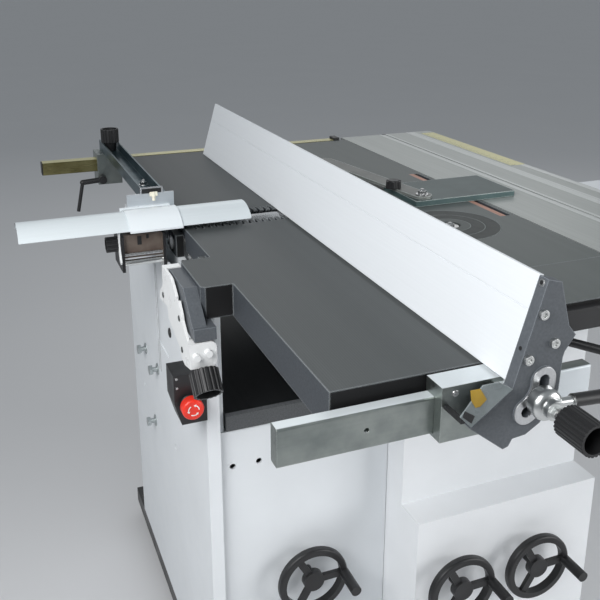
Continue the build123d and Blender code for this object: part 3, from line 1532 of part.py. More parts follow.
pieces = {
    "base_plinth": base_plinth(),
    "levelling_feet": levelling_feet(),
    "frame_plates": frame_plates(),
    "planer_side_panel": planer_side_panel(),
    "frame_bolts": frame_bolts(),
    "planer_near_panel": planer_near_panel(),
    "planer_far_panel": planer_far_panel(),
    "bearing_housings": bearing_housings(),
    "infeed_table": infeed_table(),
    "infeed_arm": infeed_arm(),
    "outfeed_table": outfeed_table(),
    "infeed_lever": infeed_lever(),
    "lever_knob": lever_knob(),
    "cutterblock": cutterblock(),
    "planer_knives": planer_knives(),
    "infeed_roller": feed_roller(infeed_roller_place),
    "outfeed_roller": feed_roller(outfeed_roller_place),
    "planer_motor": planer_motor(),
    "motor_pulley": motor_pulley(),
    "drive_belt": drive_belt(),
    "thicknesser_bed": thicknesser_bed(),
    "lift_guides": lift_guides(),
    "bed_handwheel": panel_handwheel(planer_middle, near_panel_face),
    "saw_cabinet": saw_cabinet(),
    "saw_table": saw_table(),
    "table_extension": table_extension(),
    "front_rail": front_rail(),
    "slot_insert": slot_insert(),
    "spindle_rings": spindle_rings(),
    "saw_unit": saw_unit(),
    "saw_blade": saw_blade(),
    "saw_handwheel": panel_handwheel(saw_wheel_x, cabinet_face),
    "spindle_unit": spindle_unit(),
    "spindle_shaft": spindle_shaft(),
    "spindle_handwheel": panel_handwheel(spindle_wheel_x, cabinet_face),
    "saw_cover": saw_cover(),
    "cover_arm": cover_arm(),
    "sliding_carriage": sliding_carriage(),
    "slide_beam": slide_beam(),
    "outrigger_bracket": outrigger_bracket(),
    "support_brackets": support_brackets(),
    "fence_profile": fence_profile(),
    "fence_bracket": fence_bracket(),
    "fence_screws": fence_screws(),
    "fence_guide_bar": fence_guide_bar(),
    "fence_carriage": fence_carriage(),
    "fence_clamp_bolt": fence_clamp_bolt(),
    "fence_clamp_lever": fence_clamp_lever(),
    "fence_knob": fence_knob(),
    "guard_profile": guard_profile(),
    "guard_sleeve": guard_sleeve(),
    "guard_arm": guard_arm(),
    "guard_clamp": guard_clamp(),
    "clamp_knob": clamp_knob(),
    "clamp_handle": clamp_handle(),
    "guard_holder": guard_holder(),
    "height_knob": height_knob(),
    "guard_rail": guard_rail(),
    "estop_box": estop_box(),
    "estop_button": estop_button(),
}

for node, shape in pieces.items():
    export_step(shape, f"parts/{node}.step")
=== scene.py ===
"""Looks of the combination woodworking machine: finishes, small trim, light and camera.

Lengths are in metres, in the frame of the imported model: +X from the planer to the sliding table,
+Y along the tables away from the infeed end, +Z up.
"""
import json
import math
import bmesh
import bpy
from mathutils import Matrix, Vector


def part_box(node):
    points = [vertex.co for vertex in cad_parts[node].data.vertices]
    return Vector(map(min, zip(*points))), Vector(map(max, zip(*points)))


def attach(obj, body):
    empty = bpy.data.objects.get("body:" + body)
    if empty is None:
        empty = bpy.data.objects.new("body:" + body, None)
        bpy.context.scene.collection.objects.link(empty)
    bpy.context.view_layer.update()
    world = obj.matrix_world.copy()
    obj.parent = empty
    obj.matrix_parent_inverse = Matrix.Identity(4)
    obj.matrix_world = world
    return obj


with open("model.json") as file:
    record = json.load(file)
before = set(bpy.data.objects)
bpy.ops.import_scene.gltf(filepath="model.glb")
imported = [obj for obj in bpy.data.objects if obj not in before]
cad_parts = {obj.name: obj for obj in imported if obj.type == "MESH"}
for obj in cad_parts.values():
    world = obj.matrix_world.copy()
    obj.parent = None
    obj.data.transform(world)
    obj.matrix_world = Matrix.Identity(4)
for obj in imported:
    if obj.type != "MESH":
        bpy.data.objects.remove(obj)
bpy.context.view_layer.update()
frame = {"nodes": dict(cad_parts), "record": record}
nodes = frame["nodes"]


# Colours, and how metallic a pale plated face is

WHITE = (0.80, 0.83, 0.855)
CABINET_WHITE = (0.91, 0.93, 0.95)
BLACK = (0.014, 0.014, 0.015)
IRON = (0.072, 0.079, 0.080)
SAW_IRON = (0.124, 0.139, 0.136)
BRACKET = (0.100, 0.110, 0.122)
ZINC = (0.26, 0.29, 0.28)
ZINC_TINT = (0.40, 0.43, 0.41)
# Top of zinc plate, painted paler than its sides as painted light.
ZINC_LIT_TOP = (0.74, 0.79, 0.81)
PALE_METAL = 0.3


def shade(colour, amount):
    """A colour made darker or lighter."""
    return tuple(min(1.0, channel * amount) for channel in colour)


# Building blocks for materials

NOISE_SPAN = (0.3, 0.7)
CLOUD_SPAN = (0.32, 0.68)
GRAIN_SPAN = (0.35, 0.65)
WEAR_SPAN = (0.35, 0.7)
UPWARD_SPAN = (0.85, 0.95)
NEARWARD_SPAN = (-0.7, -0.9)
ENDWARD_SPAN = (0.8, 0.95)
EDGE_SPAN = (0.98, 0.82)
EVEN = (1.0, 1.0, 1.0)
BEVEL_SAMPLES = 4
SOFT_EDGE = 0.0004


def along(axis, share):
    """A stretch that draws noise out along one axis, by cutting its scale there to a share."""
    return tuple(share if name == axis else 1.0 for name in "XYZ")


class Finish:
    """A material while it is being built: its shader, and short ways to add the nodes that drive it."""

    def __init__(self, name, metallic=0.0, roughness=0.5, edge=0.0008, shine=0.5):
        self.material = bpy.data.materials.new(name)
        self.material.use_nodes = True
        self.tree = self.material.node_tree
        self.shader = self.tree.nodes["Principled BSDF"]
        self.shader.inputs["Metallic"].default_value = metallic
        self.shader.inputs["Roughness"].default_value = roughness
        self.shader.inputs["Specular IOR Level"].default_value = shine
        self.place = self.node("ShaderNodeTexCoord").outputs["Object"]
        self.normal = None
        if edge:
            self.use_normal(self.rounded(edge))

    def node(self, kind, **values):
        """A new node, with its inputs set to numbers or joined to sockets."""
        made = self.tree.nodes.new(kind)
        for name, value in values.items():
            self.feed(made.inputs[name.replace("_", " ")], value)
        return made

    def feed(self, socket, value):
        """Joins a socket to another one, or sets it to a value."""
        if isinstance(value, bpy.types.NodeSocket):
            self.tree.links.new(value, socket)
        else:
            socket.default_value = value

    def use_normal(self, socket):
        """Makes a socket the normal of the shader."""
        self.normal = socket
        self.feed(self.shader.inputs["Normal"], socket)

    def rounded(self, radius):
        """The normals that a piece would have with rounded edges."""
        bevel = self.node("ShaderNodeBevel", Radius=radius)
        bevel.samples = BEVEL_SAMPLES
        return bevel.outputs["Normal"]

    def noise(self, scale, detail=3.0, stretch=EVEN):
        """Noise from 0 to 1, with a scale in features per metre, drawn out along an axis by a stretch."""
        place = self.node("ShaderNodeMapping", Vector=self.place, Scale=stretch).outputs["Vector"]
        return self.node("ShaderNodeTexNoise", Vector=place, Scale=scale, Detail=detail).outputs["Fac"]

    def spread(self, value, span, start=0.0, end=1.0):
        """Maps a value from a span of its own to another span, held at both ends."""
        low, high = span
        made = self.node("ShaderNodeMapRange", Value=value, From_Min=low, From_Max=high, To_Min=start,
                         To_Max=end)
        return made.outputs["Result"]

    def between(self, factor, low, high):
        """A number between two others, by a factor from 0 to 1."""
        return self.spread(factor, (0.0, 1.0), low, high)

    def clouds(self, scale, detail):
        """Soft blotches from 0 to 1."""
        return self.spread(self.noise(scale, detail), CLOUD_SPAN)

    def calc(self, operation, first, second=0.0):
        """One step of arithmetic on one or two values."""
        made = self.node("ShaderNodeMath")
        made.operation = operation
        self.feed(made.inputs[0], first)
        self.feed(made.inputs[1], second)
        return made.outputs["Value"]

    def axis(self, name):
        """One coordinate of the surface point, in metres."""
        return self.node("ShaderNodeSeparateXYZ", Vector=self.place).outputs[name]

    def within(self, name, low, high):
        """1 where a coordinate is between two values, 0 elsewhere."""
        place = self.axis(name)
        above = self.calc("GREATER_THAN", place, low)
        below = self.calc("LESS_THAN", place, high)
        return self.calc("MULTIPLY", above, below)

    def true_normal(self):
        """The normal of the flat face."""
        return self.node("ShaderNodeNewGeometry").outputs["True Normal"]

    def facing(self, name):
        """One component of the flat face's normal."""
        return self.node("ShaderNodeSeparateXYZ", Vector=self.true_normal()).outputs[name]

    def upward(self):
        """1 on faces that look up, 0 elsewhere."""
        return self.spread(self.facing("Z"), UPWARD_SPAN)

    def wave(self, place, pitch):
        """A wave from -1 to 1 with a pitch in metres."""
        return self.calc("SINE", self.calc("MULTIPLY", place, 2 * math.pi / pitch))

    def edge_highlight_mask(self, radius):
        """1 along the edges of a piece and 0 on its faces: the mask where edges are painted paler as painted
        highlights.
        """
        product = self.node("ShaderNodeVectorMath")
        product.operation = "DOT_PRODUCT"
        self.feed(product.inputs[0], self.rounded(radius))
        self.feed(product.inputs[1], self.true_normal())
        return self.spread(product.outputs["Value"], EDGE_SPAN)

    def mixed(self, factor, low, high):
        """A colour between two others, each a triple or a socket."""
        made = self.node("ShaderNodeMix")
        made.data_type = "RGBA"
        self.feed(made.inputs["Factor"], factor)
        for socket, colour in zip(made.inputs[6:8], (low, high)):
            self.feed(socket, colour if isinstance(colour, bpy.types.NodeSocket) else (*colour, 1.0))
        return made.outputs[2]

    def colour(self, value):
        self.feed(self.shader.inputs["Base Color"], value)

    def roughness(self, value):
        self.feed(self.shader.inputs["Roughness"], value)

    def metallic(self, value):
        self.feed(self.shader.inputs["Metallic"], value)

    def bump(self, height, distance, strength):
        """Relief from a height value, over a distance in metres."""
        made = self.node("ShaderNodeBump", Height=height, Distance=distance, Strength=strength)
        if self.normal is not None:
            self.feed(made.inputs["Normal"], self.normal)
        self.use_normal(made.outputs["Normal"])


# Finishes

def powder_coat(name, colour, roughness=0.42):
    """Sprayed paint: a fine orange peel, a little dust in the colour and softer shine in patches."""
    peel = 0.00006
    finish = Finish(name)
    dust = finish.spread(finish.noise(9.0, detail=5.0), NOISE_SPAN)
    finish.colour(finish.mixed(dust, shade(colour, 0.95), colour))
    finish.roughness(finish.spread(finish.noise(30.0), NOISE_SPAN, roughness - 0.06, roughness + 0.08))
    finish.bump(finish.noise(900.0, detail=2.0), distance=peel, strength=0.35)
    return finish.material


def milled_iron(name, colour):
    """Cast iron: milled lines on top, its sides cast, its near faces painted near-black as painted shade and
    its edges painted paler, partly as wear and partly as painted highlights.
    """
    line_pitch, wear_and_highlight = 0.0032, (0.26, 0.28, 0.29)
    finish = Finish(name, edge=0.0026, shine=0.3)
    upward = finish.upward()
    # Faces toward -Y, the near side, are painted near-black as painted shade.
    shaded_near_faces = finish.spread(finish.facing("Y"), NEARWARD_SPAN)
    lines = finish.spread(finish.wave(finish.axis("X"), line_pitch), (-1.0, 1.0))
    grooves = finish.calc("MULTIPLY", lines, upward)
    streaks = finish.spread(finish.noise(60.0, detail=4.0, stretch=along("Y", 0.02)), NOISE_SPAN)
    grain = finish.noise(420.0, detail=4.0)
    cast = finish.mixed(finish.spread(grain, GRAIN_SPAN), (0.046, 0.052, 0.060), (0.062, 0.070, 0.080))
    sides = finish.mixed(shaded_near_faces, cast, shade(BLACK, 0.6))
    top = finish.mixed(streaks, shade(colour, 0.92), shade(colour, 1.1))
    lined = finish.mixed(grooves, top, shade(colour, 0.9))
    faces = finish.mixed(upward, sides, lined)
    # Edges painted paler, partly as wear and partly as painted highlights.
    finish.colour(finish.mixed(finish.edge_highlight_mask(0.0032), faces, wear_and_highlight))
    finish.roughness(finish.between(upward, 0.62, 0.46))
    relief = finish.calc("ADD", finish.calc("MULTIPLY", grooves, 0.5), finish.calc("MULTIPLY", grain, 0.5))
    finish.bump(relief, distance=0.00012, strength=0.5)
    return finish.material


def turned_rings(name, colour, centre, edges):
    """Nested iron rings, darker than the table: a painted highlight line at each one's edge, and the inmost
    paler.
    """
    line_half, soft, mark_pitch = 0.0007, 0.0010, 0.0016
    finish = Finish(name, edge=0.0012, shine=0.3)
    steps = [finish.calc("SUBTRACT", finish.axis(axis), value) for axis, value in zip("XY", centre)]
    squares = [finish.calc("POWER", step, 2.0) for step in steps]
    across = finish.calc("SQRT", finish.calc("ADD", *squares))
    inmost = finish.spread(across, (edges[-1], edges[-1] - soft))
    patches = finish.spread(finish.noise(60.0, detail=4.0), NOISE_SPAN)
    dark = finish.mixed(patches, shade(colour, 0.30), shade(colour, 0.42))
    faces = finish.mixed(inmost, dark, shade(colour, 0.75))
    # Each ring's edge gets a bright line, a painted highlight.
    for edge in edges:
        away = finish.calc("ABSOLUTE", finish.calc("SUBTRACT", across, edge - 2 * line_half))
        faces = finish.mixed(finish.calc("LESS_THAN", away, line_half), faces, shade(colour, 1.7))
    finish.colour(faces)
    finish.bump(finish.wave(across, mark_pitch), distance=0.00003, strength=0.5)
    return finish.material


def bed_iron(name):
    """The thicknesser's bed: polished, its top painted near-black as painted shade, grey where it is cast."""
    finish = Finish(name, roughness=0.4, edge=0.0014, shine=0.4)
    grain = finish.noise(420.0, detail=4.0)
    cast = finish.mixed(finish.spread(grain, GRAIN_SPAN), (0.072, 0.077, 0.082), (0.106, 0.111, 0.116))
    streaks = finish.spread(finish.noise(60.0, detail=4.0, stretch=along("Y", 0.02)), NOISE_SPAN)
    # The upward faces are painted near-black as painted shade.
    top = finish.mixed(streaks, (0.009, 0.010, 0.011), (0.018, 0.019, 0.020))
    finish.colour(finish.mixed(finish.upward(), cast, top))
    finish.bump(grain, distance=0.0002, strength=0.4)
    return finish.material


def cast_paint(name, colour, bare_before=None):
    """Dark hammered casting paint with its edges painted paler as painted highlights; where a Y is given,
    faces nearer than it are bare machined metal.
    """
    finish = Finish(name, edge=0.0014, shine=0.4)
    grain = finish.noise(300.0, detail=4.0)
    paint = finish.mixed(finish.spread(grain, NOISE_SPAN), shade(colour, 0.88), shade(colour, 1.12))
    # Edges painted paler as painted highlights.
    paint = finish.mixed(finish.edge_highlight_mask(0.0018), paint, shade(colour, 2.6))
    if bare_before is None:
        finish.colour(paint)
        finish.roughness(finish.spread(grain, NOISE_SPAN, 0.38, 0.52))
    else:
        bare = finish.spread(finish.axis("Y"), (bare_before, bare_before - SOFT_EDGE))
        metal = finish.mixed(finish.noise(500.0, detail=2.0), (0.52, 0.53, 0.54), (0.68, 0.69, 0.70))
        finish.colour(finish.mixed(bare, paint, metal))
        finish.metallic(bare)
        finish.roughness(finish.between(bare, 0.45, 0.3))
    finish.bump(grain, distance=0.0003, strength=0.35)
    return finish.material


def plated(name, colour, tint, roughness=0.36, flow=EVEN, metallic=1.0, top=None):
    """Zinc plate on steel: a cloudy tint, faint drawing lines, edges painted paler as painted highlights and,
    where it is given, a top colour painted on upward faces as painted light.
    """
    finish = Finish(name, metallic=metallic)
    clouds = finish.clouds(26.0, detail=6.0)
    lines = finish.noise(300.0, stretch=flow)
    faces = finish.mixed(clouds, colour, tint)
    # Upward faces take the given top colour, painted light.
    if top is not None:
        upward = finish.upward()
        faces = finish.mixed(upward, faces, finish.mixed(clouds, shade(top, 0.92), top))
        finish.metallic(finish.between(upward, metallic, PALE_METAL))
    # Edges painted paler as painted highlights.
    finish.colour(finish.mixed(finish.edge_highlight_mask(0.0012), faces, shade(tint, 1.5)))
    finish.roughness(finish.spread(lines, NOISE_SPAN, roughness - 0.08, roughness + 0.1))
    finish.bump(lines, distance=0.00004, strength=0.5)
    return finish.material


def bar_zinc(name, block_from):
    """Drawn zinc-plated bar with its top painted pale as painted light and its edges painted paler as painted
    highlights; past an X it is a pale block with a dark top.
    """
    block_side, block_top = (0.78, 0.83, 0.86), (0.14, 0.16, 0.15)
    finish = Finish(name)
    clouds = finish.clouds(26.0, detail=6.0)
    lines = finish.noise(300.0, stretch=along("X", 0.05))
    upward = finish.upward()
    block = finish.calc("GREATER_THAN", finish.axis("X"), block_from)
    side = finish.mixed(block, finish.mixed(clouds, ZINC, ZINC_TINT), block_side)
    # Upward faces of the bar are painted pale as painted light.
    top = finish.mixed(block, ZINC_LIT_TOP, block_top)
    faces = finish.mixed(upward, side, top)
    # Edges painted paler as painted highlights.
    finish.colour(finish.mixed(finish.edge_highlight_mask(0.0012), faces, shade(ZINC_TINT, 1.5)))
    pale = finish.calc("MAXIMUM", upward, block)
    finish.metallic(finish.between(pale, 1.0, PALE_METAL))
    finish.roughness(finish.spread(lines, NOISE_SPAN, 0.28, 0.46))
    finish.bump(lines, distance=0.00004, strength=0.5)
    return finish.material


def extruded(name, colour, axis, metallic, roughness, contrast=0.5, black_ends=False):
    """Anodised extrusion: fine lines along its axis, a satin shine and, where asked for, black ends."""
    finish = Finish(name, metallic=metallic)
    lines = finish.noise(420.0, stretch=along(axis, 0.01))
    faint = finish.spread(lines, NOISE_SPAN, 0.0, contrast)
    faces = finish.mixed(faint, colour, shade(colour, 0.9))
    if black_ends:
        endward = finish.spread(finish.calc("ABSOLUTE", finish.facing(axis)), ENDWARD_SPAN)
        faces = finish.mixed(endward, faces, BLACK)
    finish.colour(faces)
    finish.roughness(finish.spread(lines, NOISE_SPAN, roughness - 0.04, roughness + 0.06))
    finish.bump(lines, distance=0.00001, strength=0.3)
    return finish.material


def cover_plate(name, dark, light):
    """Cloudy dark plate, its sides painted paler as painted light and its edges painted bright as painted
    highlights.
    """
    # Edge colour, painted as highlights.
    bright = (0.66, 0.72, 0.70)
    finish = Finish(name, metallic=0.4, roughness=0.4)
    clouds = finish.clouds(18.0, detail=5.0)
    top = finish.mixed(clouds, dark, light)
    # Sides painted twice as pale as the top, as painted light.
    side = finish.mixed(clouds, shade(dark, 2.0), shade(light, 2.0))
    faces = finish.mixed(finish.upward(), side, top)
    finish.colour(finish.mixed(finish.edge_highlight_mask(0.0026), faces, bright))
    finish.bump(finish.noise(300.0), distance=0.00004, strength=0.4)
    return finish.material


def arm_with_plate(name, plate_from):
    """Dark blue zinc channel, its edges painted paler as painted highlights, whose upright end plate, nearer
    than a Y, is bright drawn metal.
    """
    wear_and_highlight = (0.38, 0.43, 0.43)
    finish = Finish(name, metallic=0.75, roughness=0.32)
    plate = finish.calc("LESS_THAN", finish.axis("Y"), plate_from)
    channel = finish.mixed(finish.clouds(26.0, detail=6.0), (0.036, 0.064, 0.080), (0.100, 0.150, 0.172))
    # Edges of the channel painted paler as painted highlights.
    channel = finish.mixed(finish.edge_highlight_mask(0.0012), channel, wear_and_highlight)
    drawn = finish.noise(500.0, stretch=along("X", 0.02))
    bright = finish.mixed(drawn, (0.62, 0.65, 0.68), (0.74, 0.77, 0.80))
    finish.colour(finish.mixed(plate, channel, bright))
    finish.bump(finish.noise(300.0, stretch=along("Y", 0.05)), distance=0.00004, strength=0.4)
    return finish.material


def holder_parts(name, body, bottom):
    """Browned steel body over an X span, black end plates beside it and bright bars below a height."""
    margin = 0.0001
    finish = Finish(name)
    clouds = finish.clouds(40.0, detail=5.0)
    brown = finish.mixed(clouds, (0.115, 0.085, 0.070), (0.185, 0.150, 0.125))
    black = finish.mixed(clouds, (0.012, 0.012, 0.013), (0.022, 0.022, 0.024))
    chrome = finish.mixed(clouds, (0.66, 0.66, 0.64), (0.80, 0.80, 0.78))
    inside = finish.within("X", body[0] - margin, body[1] + margin)
    low = finish.calc("LESS_THAN", finish.axis("Z"), bottom)
    bars = finish.calc("MULTIPLY", inside, low)
    finish.colour(finish.mixed(bars, finish.mixed(inside, black, brown), chrome))
    finish.metallic(finish.between(bars, 0.15, 1.0))
    finish.roughness(finish.between(bars, 0.42, 0.16))
    finish.bump(finish.noise(500.0, detail=2.0), distance=0.00004, strength=0.4)
    return finish.material


def turned_steel(name, colour, roughness=0.3):
    """Bright machined steel with fine tool marks."""
    finish = Finish(name, metallic=1.0)
    marks = finish.noise(800.0, detail=4.0, stretch=along("Y", 0.25))
    finish.colour(finish.mixed(finish.spread(marks, NOISE_SPAN), shade(colour, 0.86), colour))
    finish.roughness(finish.spread(marks, NOISE_SPAN, roughness - 0.06, roughness + 0.12))
    finish.bump(marks, distance=0.00004, strength=0.5)
    return finish.material


def moulded(name, colour, roughness=0.42):
    """Moulded plastic: spark-eroded grain and slight wear in its shine."""
    finish = Finish(name, edge=0.0006)
    grain = finish.noise(1400.0, detail=2.0)
    wear_and_highlight = finish.spread(finish.noise(40.0, detail=4.0), WEAR_SPAN)
    finish.colour(finish.mixed(wear_and_highlight, colour, shade(colour, 1.35)))
    finish.roughness(finish.between(wear_and_highlight, roughness + 0.05, roughness - 0.08))
    finish.bump(grain, distance=0.00008, strength=0.4)
    return finish.material


def nut_and_grip(name, grip_from):
    """Zinc-plated steel up to an X, then black moulded plastic beyond it."""
    finish = Finish(name)
    grip = finish.spread(finish.axis("X"), (grip_from, grip_from + SOFT_EDGE))
    patches = finish.noise(60.0, detail=4.0)
    metal = finish.mixed(patches, (0.55, 0.57, 0.57), (0.72, 0.73, 0.72))
    plastic = finish.mixed(patches, (0.012, 0.012, 0.013), (0.022, 0.022, 0.023))
    finish.colour(finish.mixed(grip, metal, plastic))
    finish.metallic(finish.between(grip, 1.0, 0.0))
    finish.roughness(finish.between(grip, 0.28, 0.4))
    finish.bump(finish.noise(900.0, detail=2.0), distance=0.00004, strength=0.4)
    return finish.material


def sawn_wood(name, colour):
    """Reddish hardwood with its grain along Y."""
    finish = Finish(name, roughness=0.6, edge=0.0005)
    grain = finish.noise(220.0, detail=6.0, stretch=along("Y", 0.06))
    finish.colour(finish.mixed(finish.spread(grain, NOISE_SPAN), shade(colour, 0.7), shade(colour, 1.15)))
    finish.bump(grain, distance=0.0002, strength=0.5)
    return finish.material


def printed_scale(name, colour, pitch, left, right):
    """A yellow scale strip with dark ticks across it, longer and wider at every fifth one."""
    ink = (0.05, 0.05, 0.04)
    finish = Finish(name, roughness=0.35, edge=0.0)
    lengthwise = finish.axis("Y")
    across = finish.spread(finish.axis("X"), (left, right))

    def ticks(step, width, reach):
        part = finish.calc("FRACT", finish.calc("DIVIDE", lengthwise, step))
        near = finish.calc("LESS_THAN", part, width / step)
        return finish.calc("MULTIPLY", near, finish.calc("LESS_THAN", across, reach))

    short_ticks = ticks(pitch, width=0.0006, reach=0.3)
    long_ticks = ticks(5 * pitch, width=0.0009, reach=0.5)
    marks = finish.calc("MAXIMUM", short_ticks, long_ticks)
    faded = finish.mixed(finish.noise(40.0), shade(colour, 0.93), colour)
    finish.colour(finish.mixed(marks, faded, ink))
    return finish.material


def middle(node):
    """The middle of a node's box."""
    low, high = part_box(node)
    return (low + high) / 2


# Where a finish changes within one node

GRIP_START = 0.034
RIM_DEPTH = 0.0012
BAR_BLOCK = 0.044
ARM_SHEET = 0.003
ARM_MARGIN = 0.0002
HOLDER_PLATE = 0.005
HOLDER_HEIGHT = 0.040
RING_EDGES = (0.086, 0.060, 0.036)

grip_from = middle("fence_knob").x + GRIP_START
rim_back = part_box("fence_bracket")[0].y + RIM_DEPTH
block_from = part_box("fence_guide_bar")[1].x - BAR_BLOCK
arm_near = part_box("guard_arm")[0].y
holder_low, holder_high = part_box("guard_holder")
holder_body = (holder_low.x + HOLDER_PLATE, holder_high.x - HOLDER_PLATE)
holder_bottom = holder_high.z - HOLDER_HEIGHT

# The finish of each material slot, and of the nodes that have one of their own

finishes = {
    "white_paint": powder_coat("white_paint", WHITE),
    "lever_paint": powder_coat("lever_paint", (0.86, 0.87, 0.87), roughness=0.3),
    "black_paint": powder_coat("black_paint", (0.02, 0.02, 0.021), roughness=0.4),
    "motor_paint": powder_coat("motor_paint", (0.10, 0.11, 0.12), roughness=0.45),
    "machined_iron": milled_iron("machined_iron", IRON),
    "bracket_iron": cast_paint("bracket_iron", BRACKET),
    "zinc_steel": plated("zinc_steel", ZINC, ZINC_TINT),
    "bright_steel": turned_steel("bright_steel", (0.62, 0.62, 0.62), roughness=0.26),
    "bright_aluminium": turned_steel("bright_aluminium", (0.75, 0.75, 0.77)),
    "fence_aluminium": extruded("fence_aluminium", (0.87, 0.90, 0.93), "Y", metallic=0.15, roughness=0.45,
                                contrast=0.25),
    "guard_aluminium": extruded("guard_aluminium", (0.80, 0.86, 0.885), "X", metallic=0.2, roughness=0.36,
                                contrast=0.3, black_ends=True),
    "carriage_aluminium": extruded("carriage_aluminium", (0.435, 0.455, 0.44), "Y", metallic=0.35,
                                   roughness=0.42),
    "black_plastic": moulded("black_plastic", BLACK),
    "red_plastic": moulded("red_plastic", (0.72, 0.034, 0.018), roughness=0.32),
    "insert_wood": sawn_wood("insert_wood", (0.55, 0.31, 0.24)),
    "black_rubber": moulded("black_rubber", (0.018, 0.018, 0.018), roughness=0.75),
}

own_finishes = {
    "fence_bracket": cast_paint("bracket_with_bare_rim", BRACKET, rim_back),
    "fence_clamp_lever": nut_and_grip("nut_and_grip", grip_from),
    "fence_guide_bar": bar_zinc("bar_zinc", block_from),
    # The carriage's top faces take the lit zinc top colour, painted light.
    "fence_carriage": plated("carriage_zinc", ZINC, ZINC_TINT, top=ZINC_LIT_TOP),
    "fence_screws": turned_steel("screw_zinc", (0.70, 0.71, 0.70)),
    "frame_bolts": turned_steel("bolt_zinc", (0.56, 0.60, 0.60)),
    # The rail's top is painted pale yellow over olive sides, as painted light.
    "guard_rail": plated("rail_zinc", (0.13, 0.115, 0.045), (0.23, 0.21, 0.10), roughness=0.3,
                         flow=along("X", 0.05), metallic=0.8, top=(0.66, 0.62, 0.34)),
    "guard_sleeve": powder_coat("sleeve_paint", (0.84, 0.89, 0.92), roughness=0.3),
    "guard_arm": arm_with_plate("arm_with_plate", arm_near + ARM_SHEET + ARM_MARGIN),
    "guard_holder": holder_parts("holder_parts", holder_body, holder_bottom),
    "spindle_rings": turned_rings("turned_rings", SAW_IRON, middle("spindle_rings")[:2], RING_EDGES),
    "saw_cabinet": powder_coat("cabinet_paint", CABINET_WHITE),
    "saw_table": milled_iron("saw_iron", SAW_IRON),
    "table_extension": milled_iron("extension_iron", SAW_IRON),
    "thicknesser_bed": bed_iron("bed_iron"),
    "saw_cover": cover_plate("cover_plate", (0.038, 0.062, 0.062), (0.060, 0.090, 0.090)),
    "cover_arm": cover_plate("arm_zinc", (0.110, 0.115, 0.108), (0.170, 0.175, 0.165)),
}

for part in frame["record"]["subparts"]:
    node = part["node"]
    mesh = nodes[node].data
    mesh.materials.clear()
    mesh.materials.append(own_finishes[node] if node in own_finishes else finishes[part["material_slot"]])


# Building blocks for small trim

OUT = Vector((0.0, -1.0, 0.0))
LEFT = Vector((-1.0, 0.0, 0.0))
RIGHT = Vector((1.0, 0.0, 0.0))
UP = Vector((0.0, 0.0, 1.0))


def piece(name, body, slot, build, material=None, bevel=0.0004):
    """A new mesh piece: built by a function into a bmesh, bevelled, finished and put on a body."""
    shape = bmesh.new()
    build(shape)
    mesh = bpy.data.meshes.new(name)
    shape.to_mesh(mesh)
    shape.free()
    made = bpy.data.objects.new(name, mesh)
    bpy.context.scene.collection.objects.link(made)
    mesh.materials.append(material or finishes[slot])
    if bevel:
        rounding = made.modifiers.new("edges", "BEVEL")
        rounding.width = bevel
        rounding.segments = 2
        rounding.limit_method = "ANGLE"
    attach(made, body)


def add_block(shape, low, high):
    """A box between two corners."""
    low, high = Vector(low), Vector(high)
    place = Matrix.Translation((low + high) / 2) @ Matrix.Diagonal((*(high - low), 1.0))
    bmesh.ops.create_cube(shape, size=1.0, matrix=place)


def add_prism(shape, outline, direction):
    """A flat plate from an outline of corner points, thickened along a direction."""
    face = shape.faces.new([shape.verts.new(point) for point in outline])
    grown = bmesh.ops.extrude_face_region(shape, geom=[face])["geom"]
    moved = [item for item in grown if isinstance(item, bmesh.types.BMVert)]
    bmesh.ops.translate(shape, verts=moved, vec=direction)
    bmesh.ops.recalc_face_normals(shape, faces=shape.faces[:])


def add_disc(shape, centre, axis, radius, height, sides=32, top_radius=None):
    """A round boss that stands on a centre point along an axis."""
    turn = Vector(axis).to_track_quat("Z", "Y").to_matrix().to_4x4()
    place = Matrix.Translation(Vector(centre) + Vector(axis) * height / 2) @ turn
    top = radius if top_radius is None else top_radius
    bmesh.ops.create_cone(shape, cap_ends=True, segments=sides, radius1=radius, radius2=top, depth=height,
                          matrix=place)


def add_socket_screw(shape, centre, axis, radius, height, top_radius, socket_radius, socket_height):
    """A screw's head that stands on a centre point along an axis, with a hexagon on its end."""
    add_disc(shape, centre, axis, radius, height, sides=24, top_radius=top_radius)
    add_disc(shape, centre + height * axis, axis, socket_radius, socket_height, sides=6)


def add_nut(shape, centre, axis, radius, height):
    """A hexagon nut with a domed end above it."""
    dome_radius, dome_height, dome_top = 0.8 * radius, 0.6 * height, 0.35 * radius
    add_disc(shape, centre, axis, radius, height, sides=6)
    add_disc(shape, centre + height * axis, axis, dome_radius, dome_height, sides=24, top_radius=dome_top)


def add_nut_on_washer(shape, base, washer_radius, nut_radius):
    """An upright nut with a washer below it."""
    washer, nut_height = 0.0016, 0.006
    add_disc(shape, base, UP, washer_radius, washer)
    add_nut(shape, base + washer * UP, UP, nut_radius, nut_height)


def add_lobes(shape, centre, radius, height, lobes):
    """A lobed hand knob that stands on a point: a round body with rounded lobes round it."""
    ring = 0.72 * radius
    add_disc(shape, centre, UP, 0.8 * radius, height, top_radius=0.7 * radius)
    for lobe in range(lobes):
        turn = 2 * math.pi * lobe / lobes
        place = centre + ring * Vector((math.cos(turn), math.sin(turn), 0.0))
        add_disc(shape, place, UP, 0.28 * radius, 0.9 * height, sides=16, top_radius=0.24 * radius)


# Small trim that the solids leave to the looks

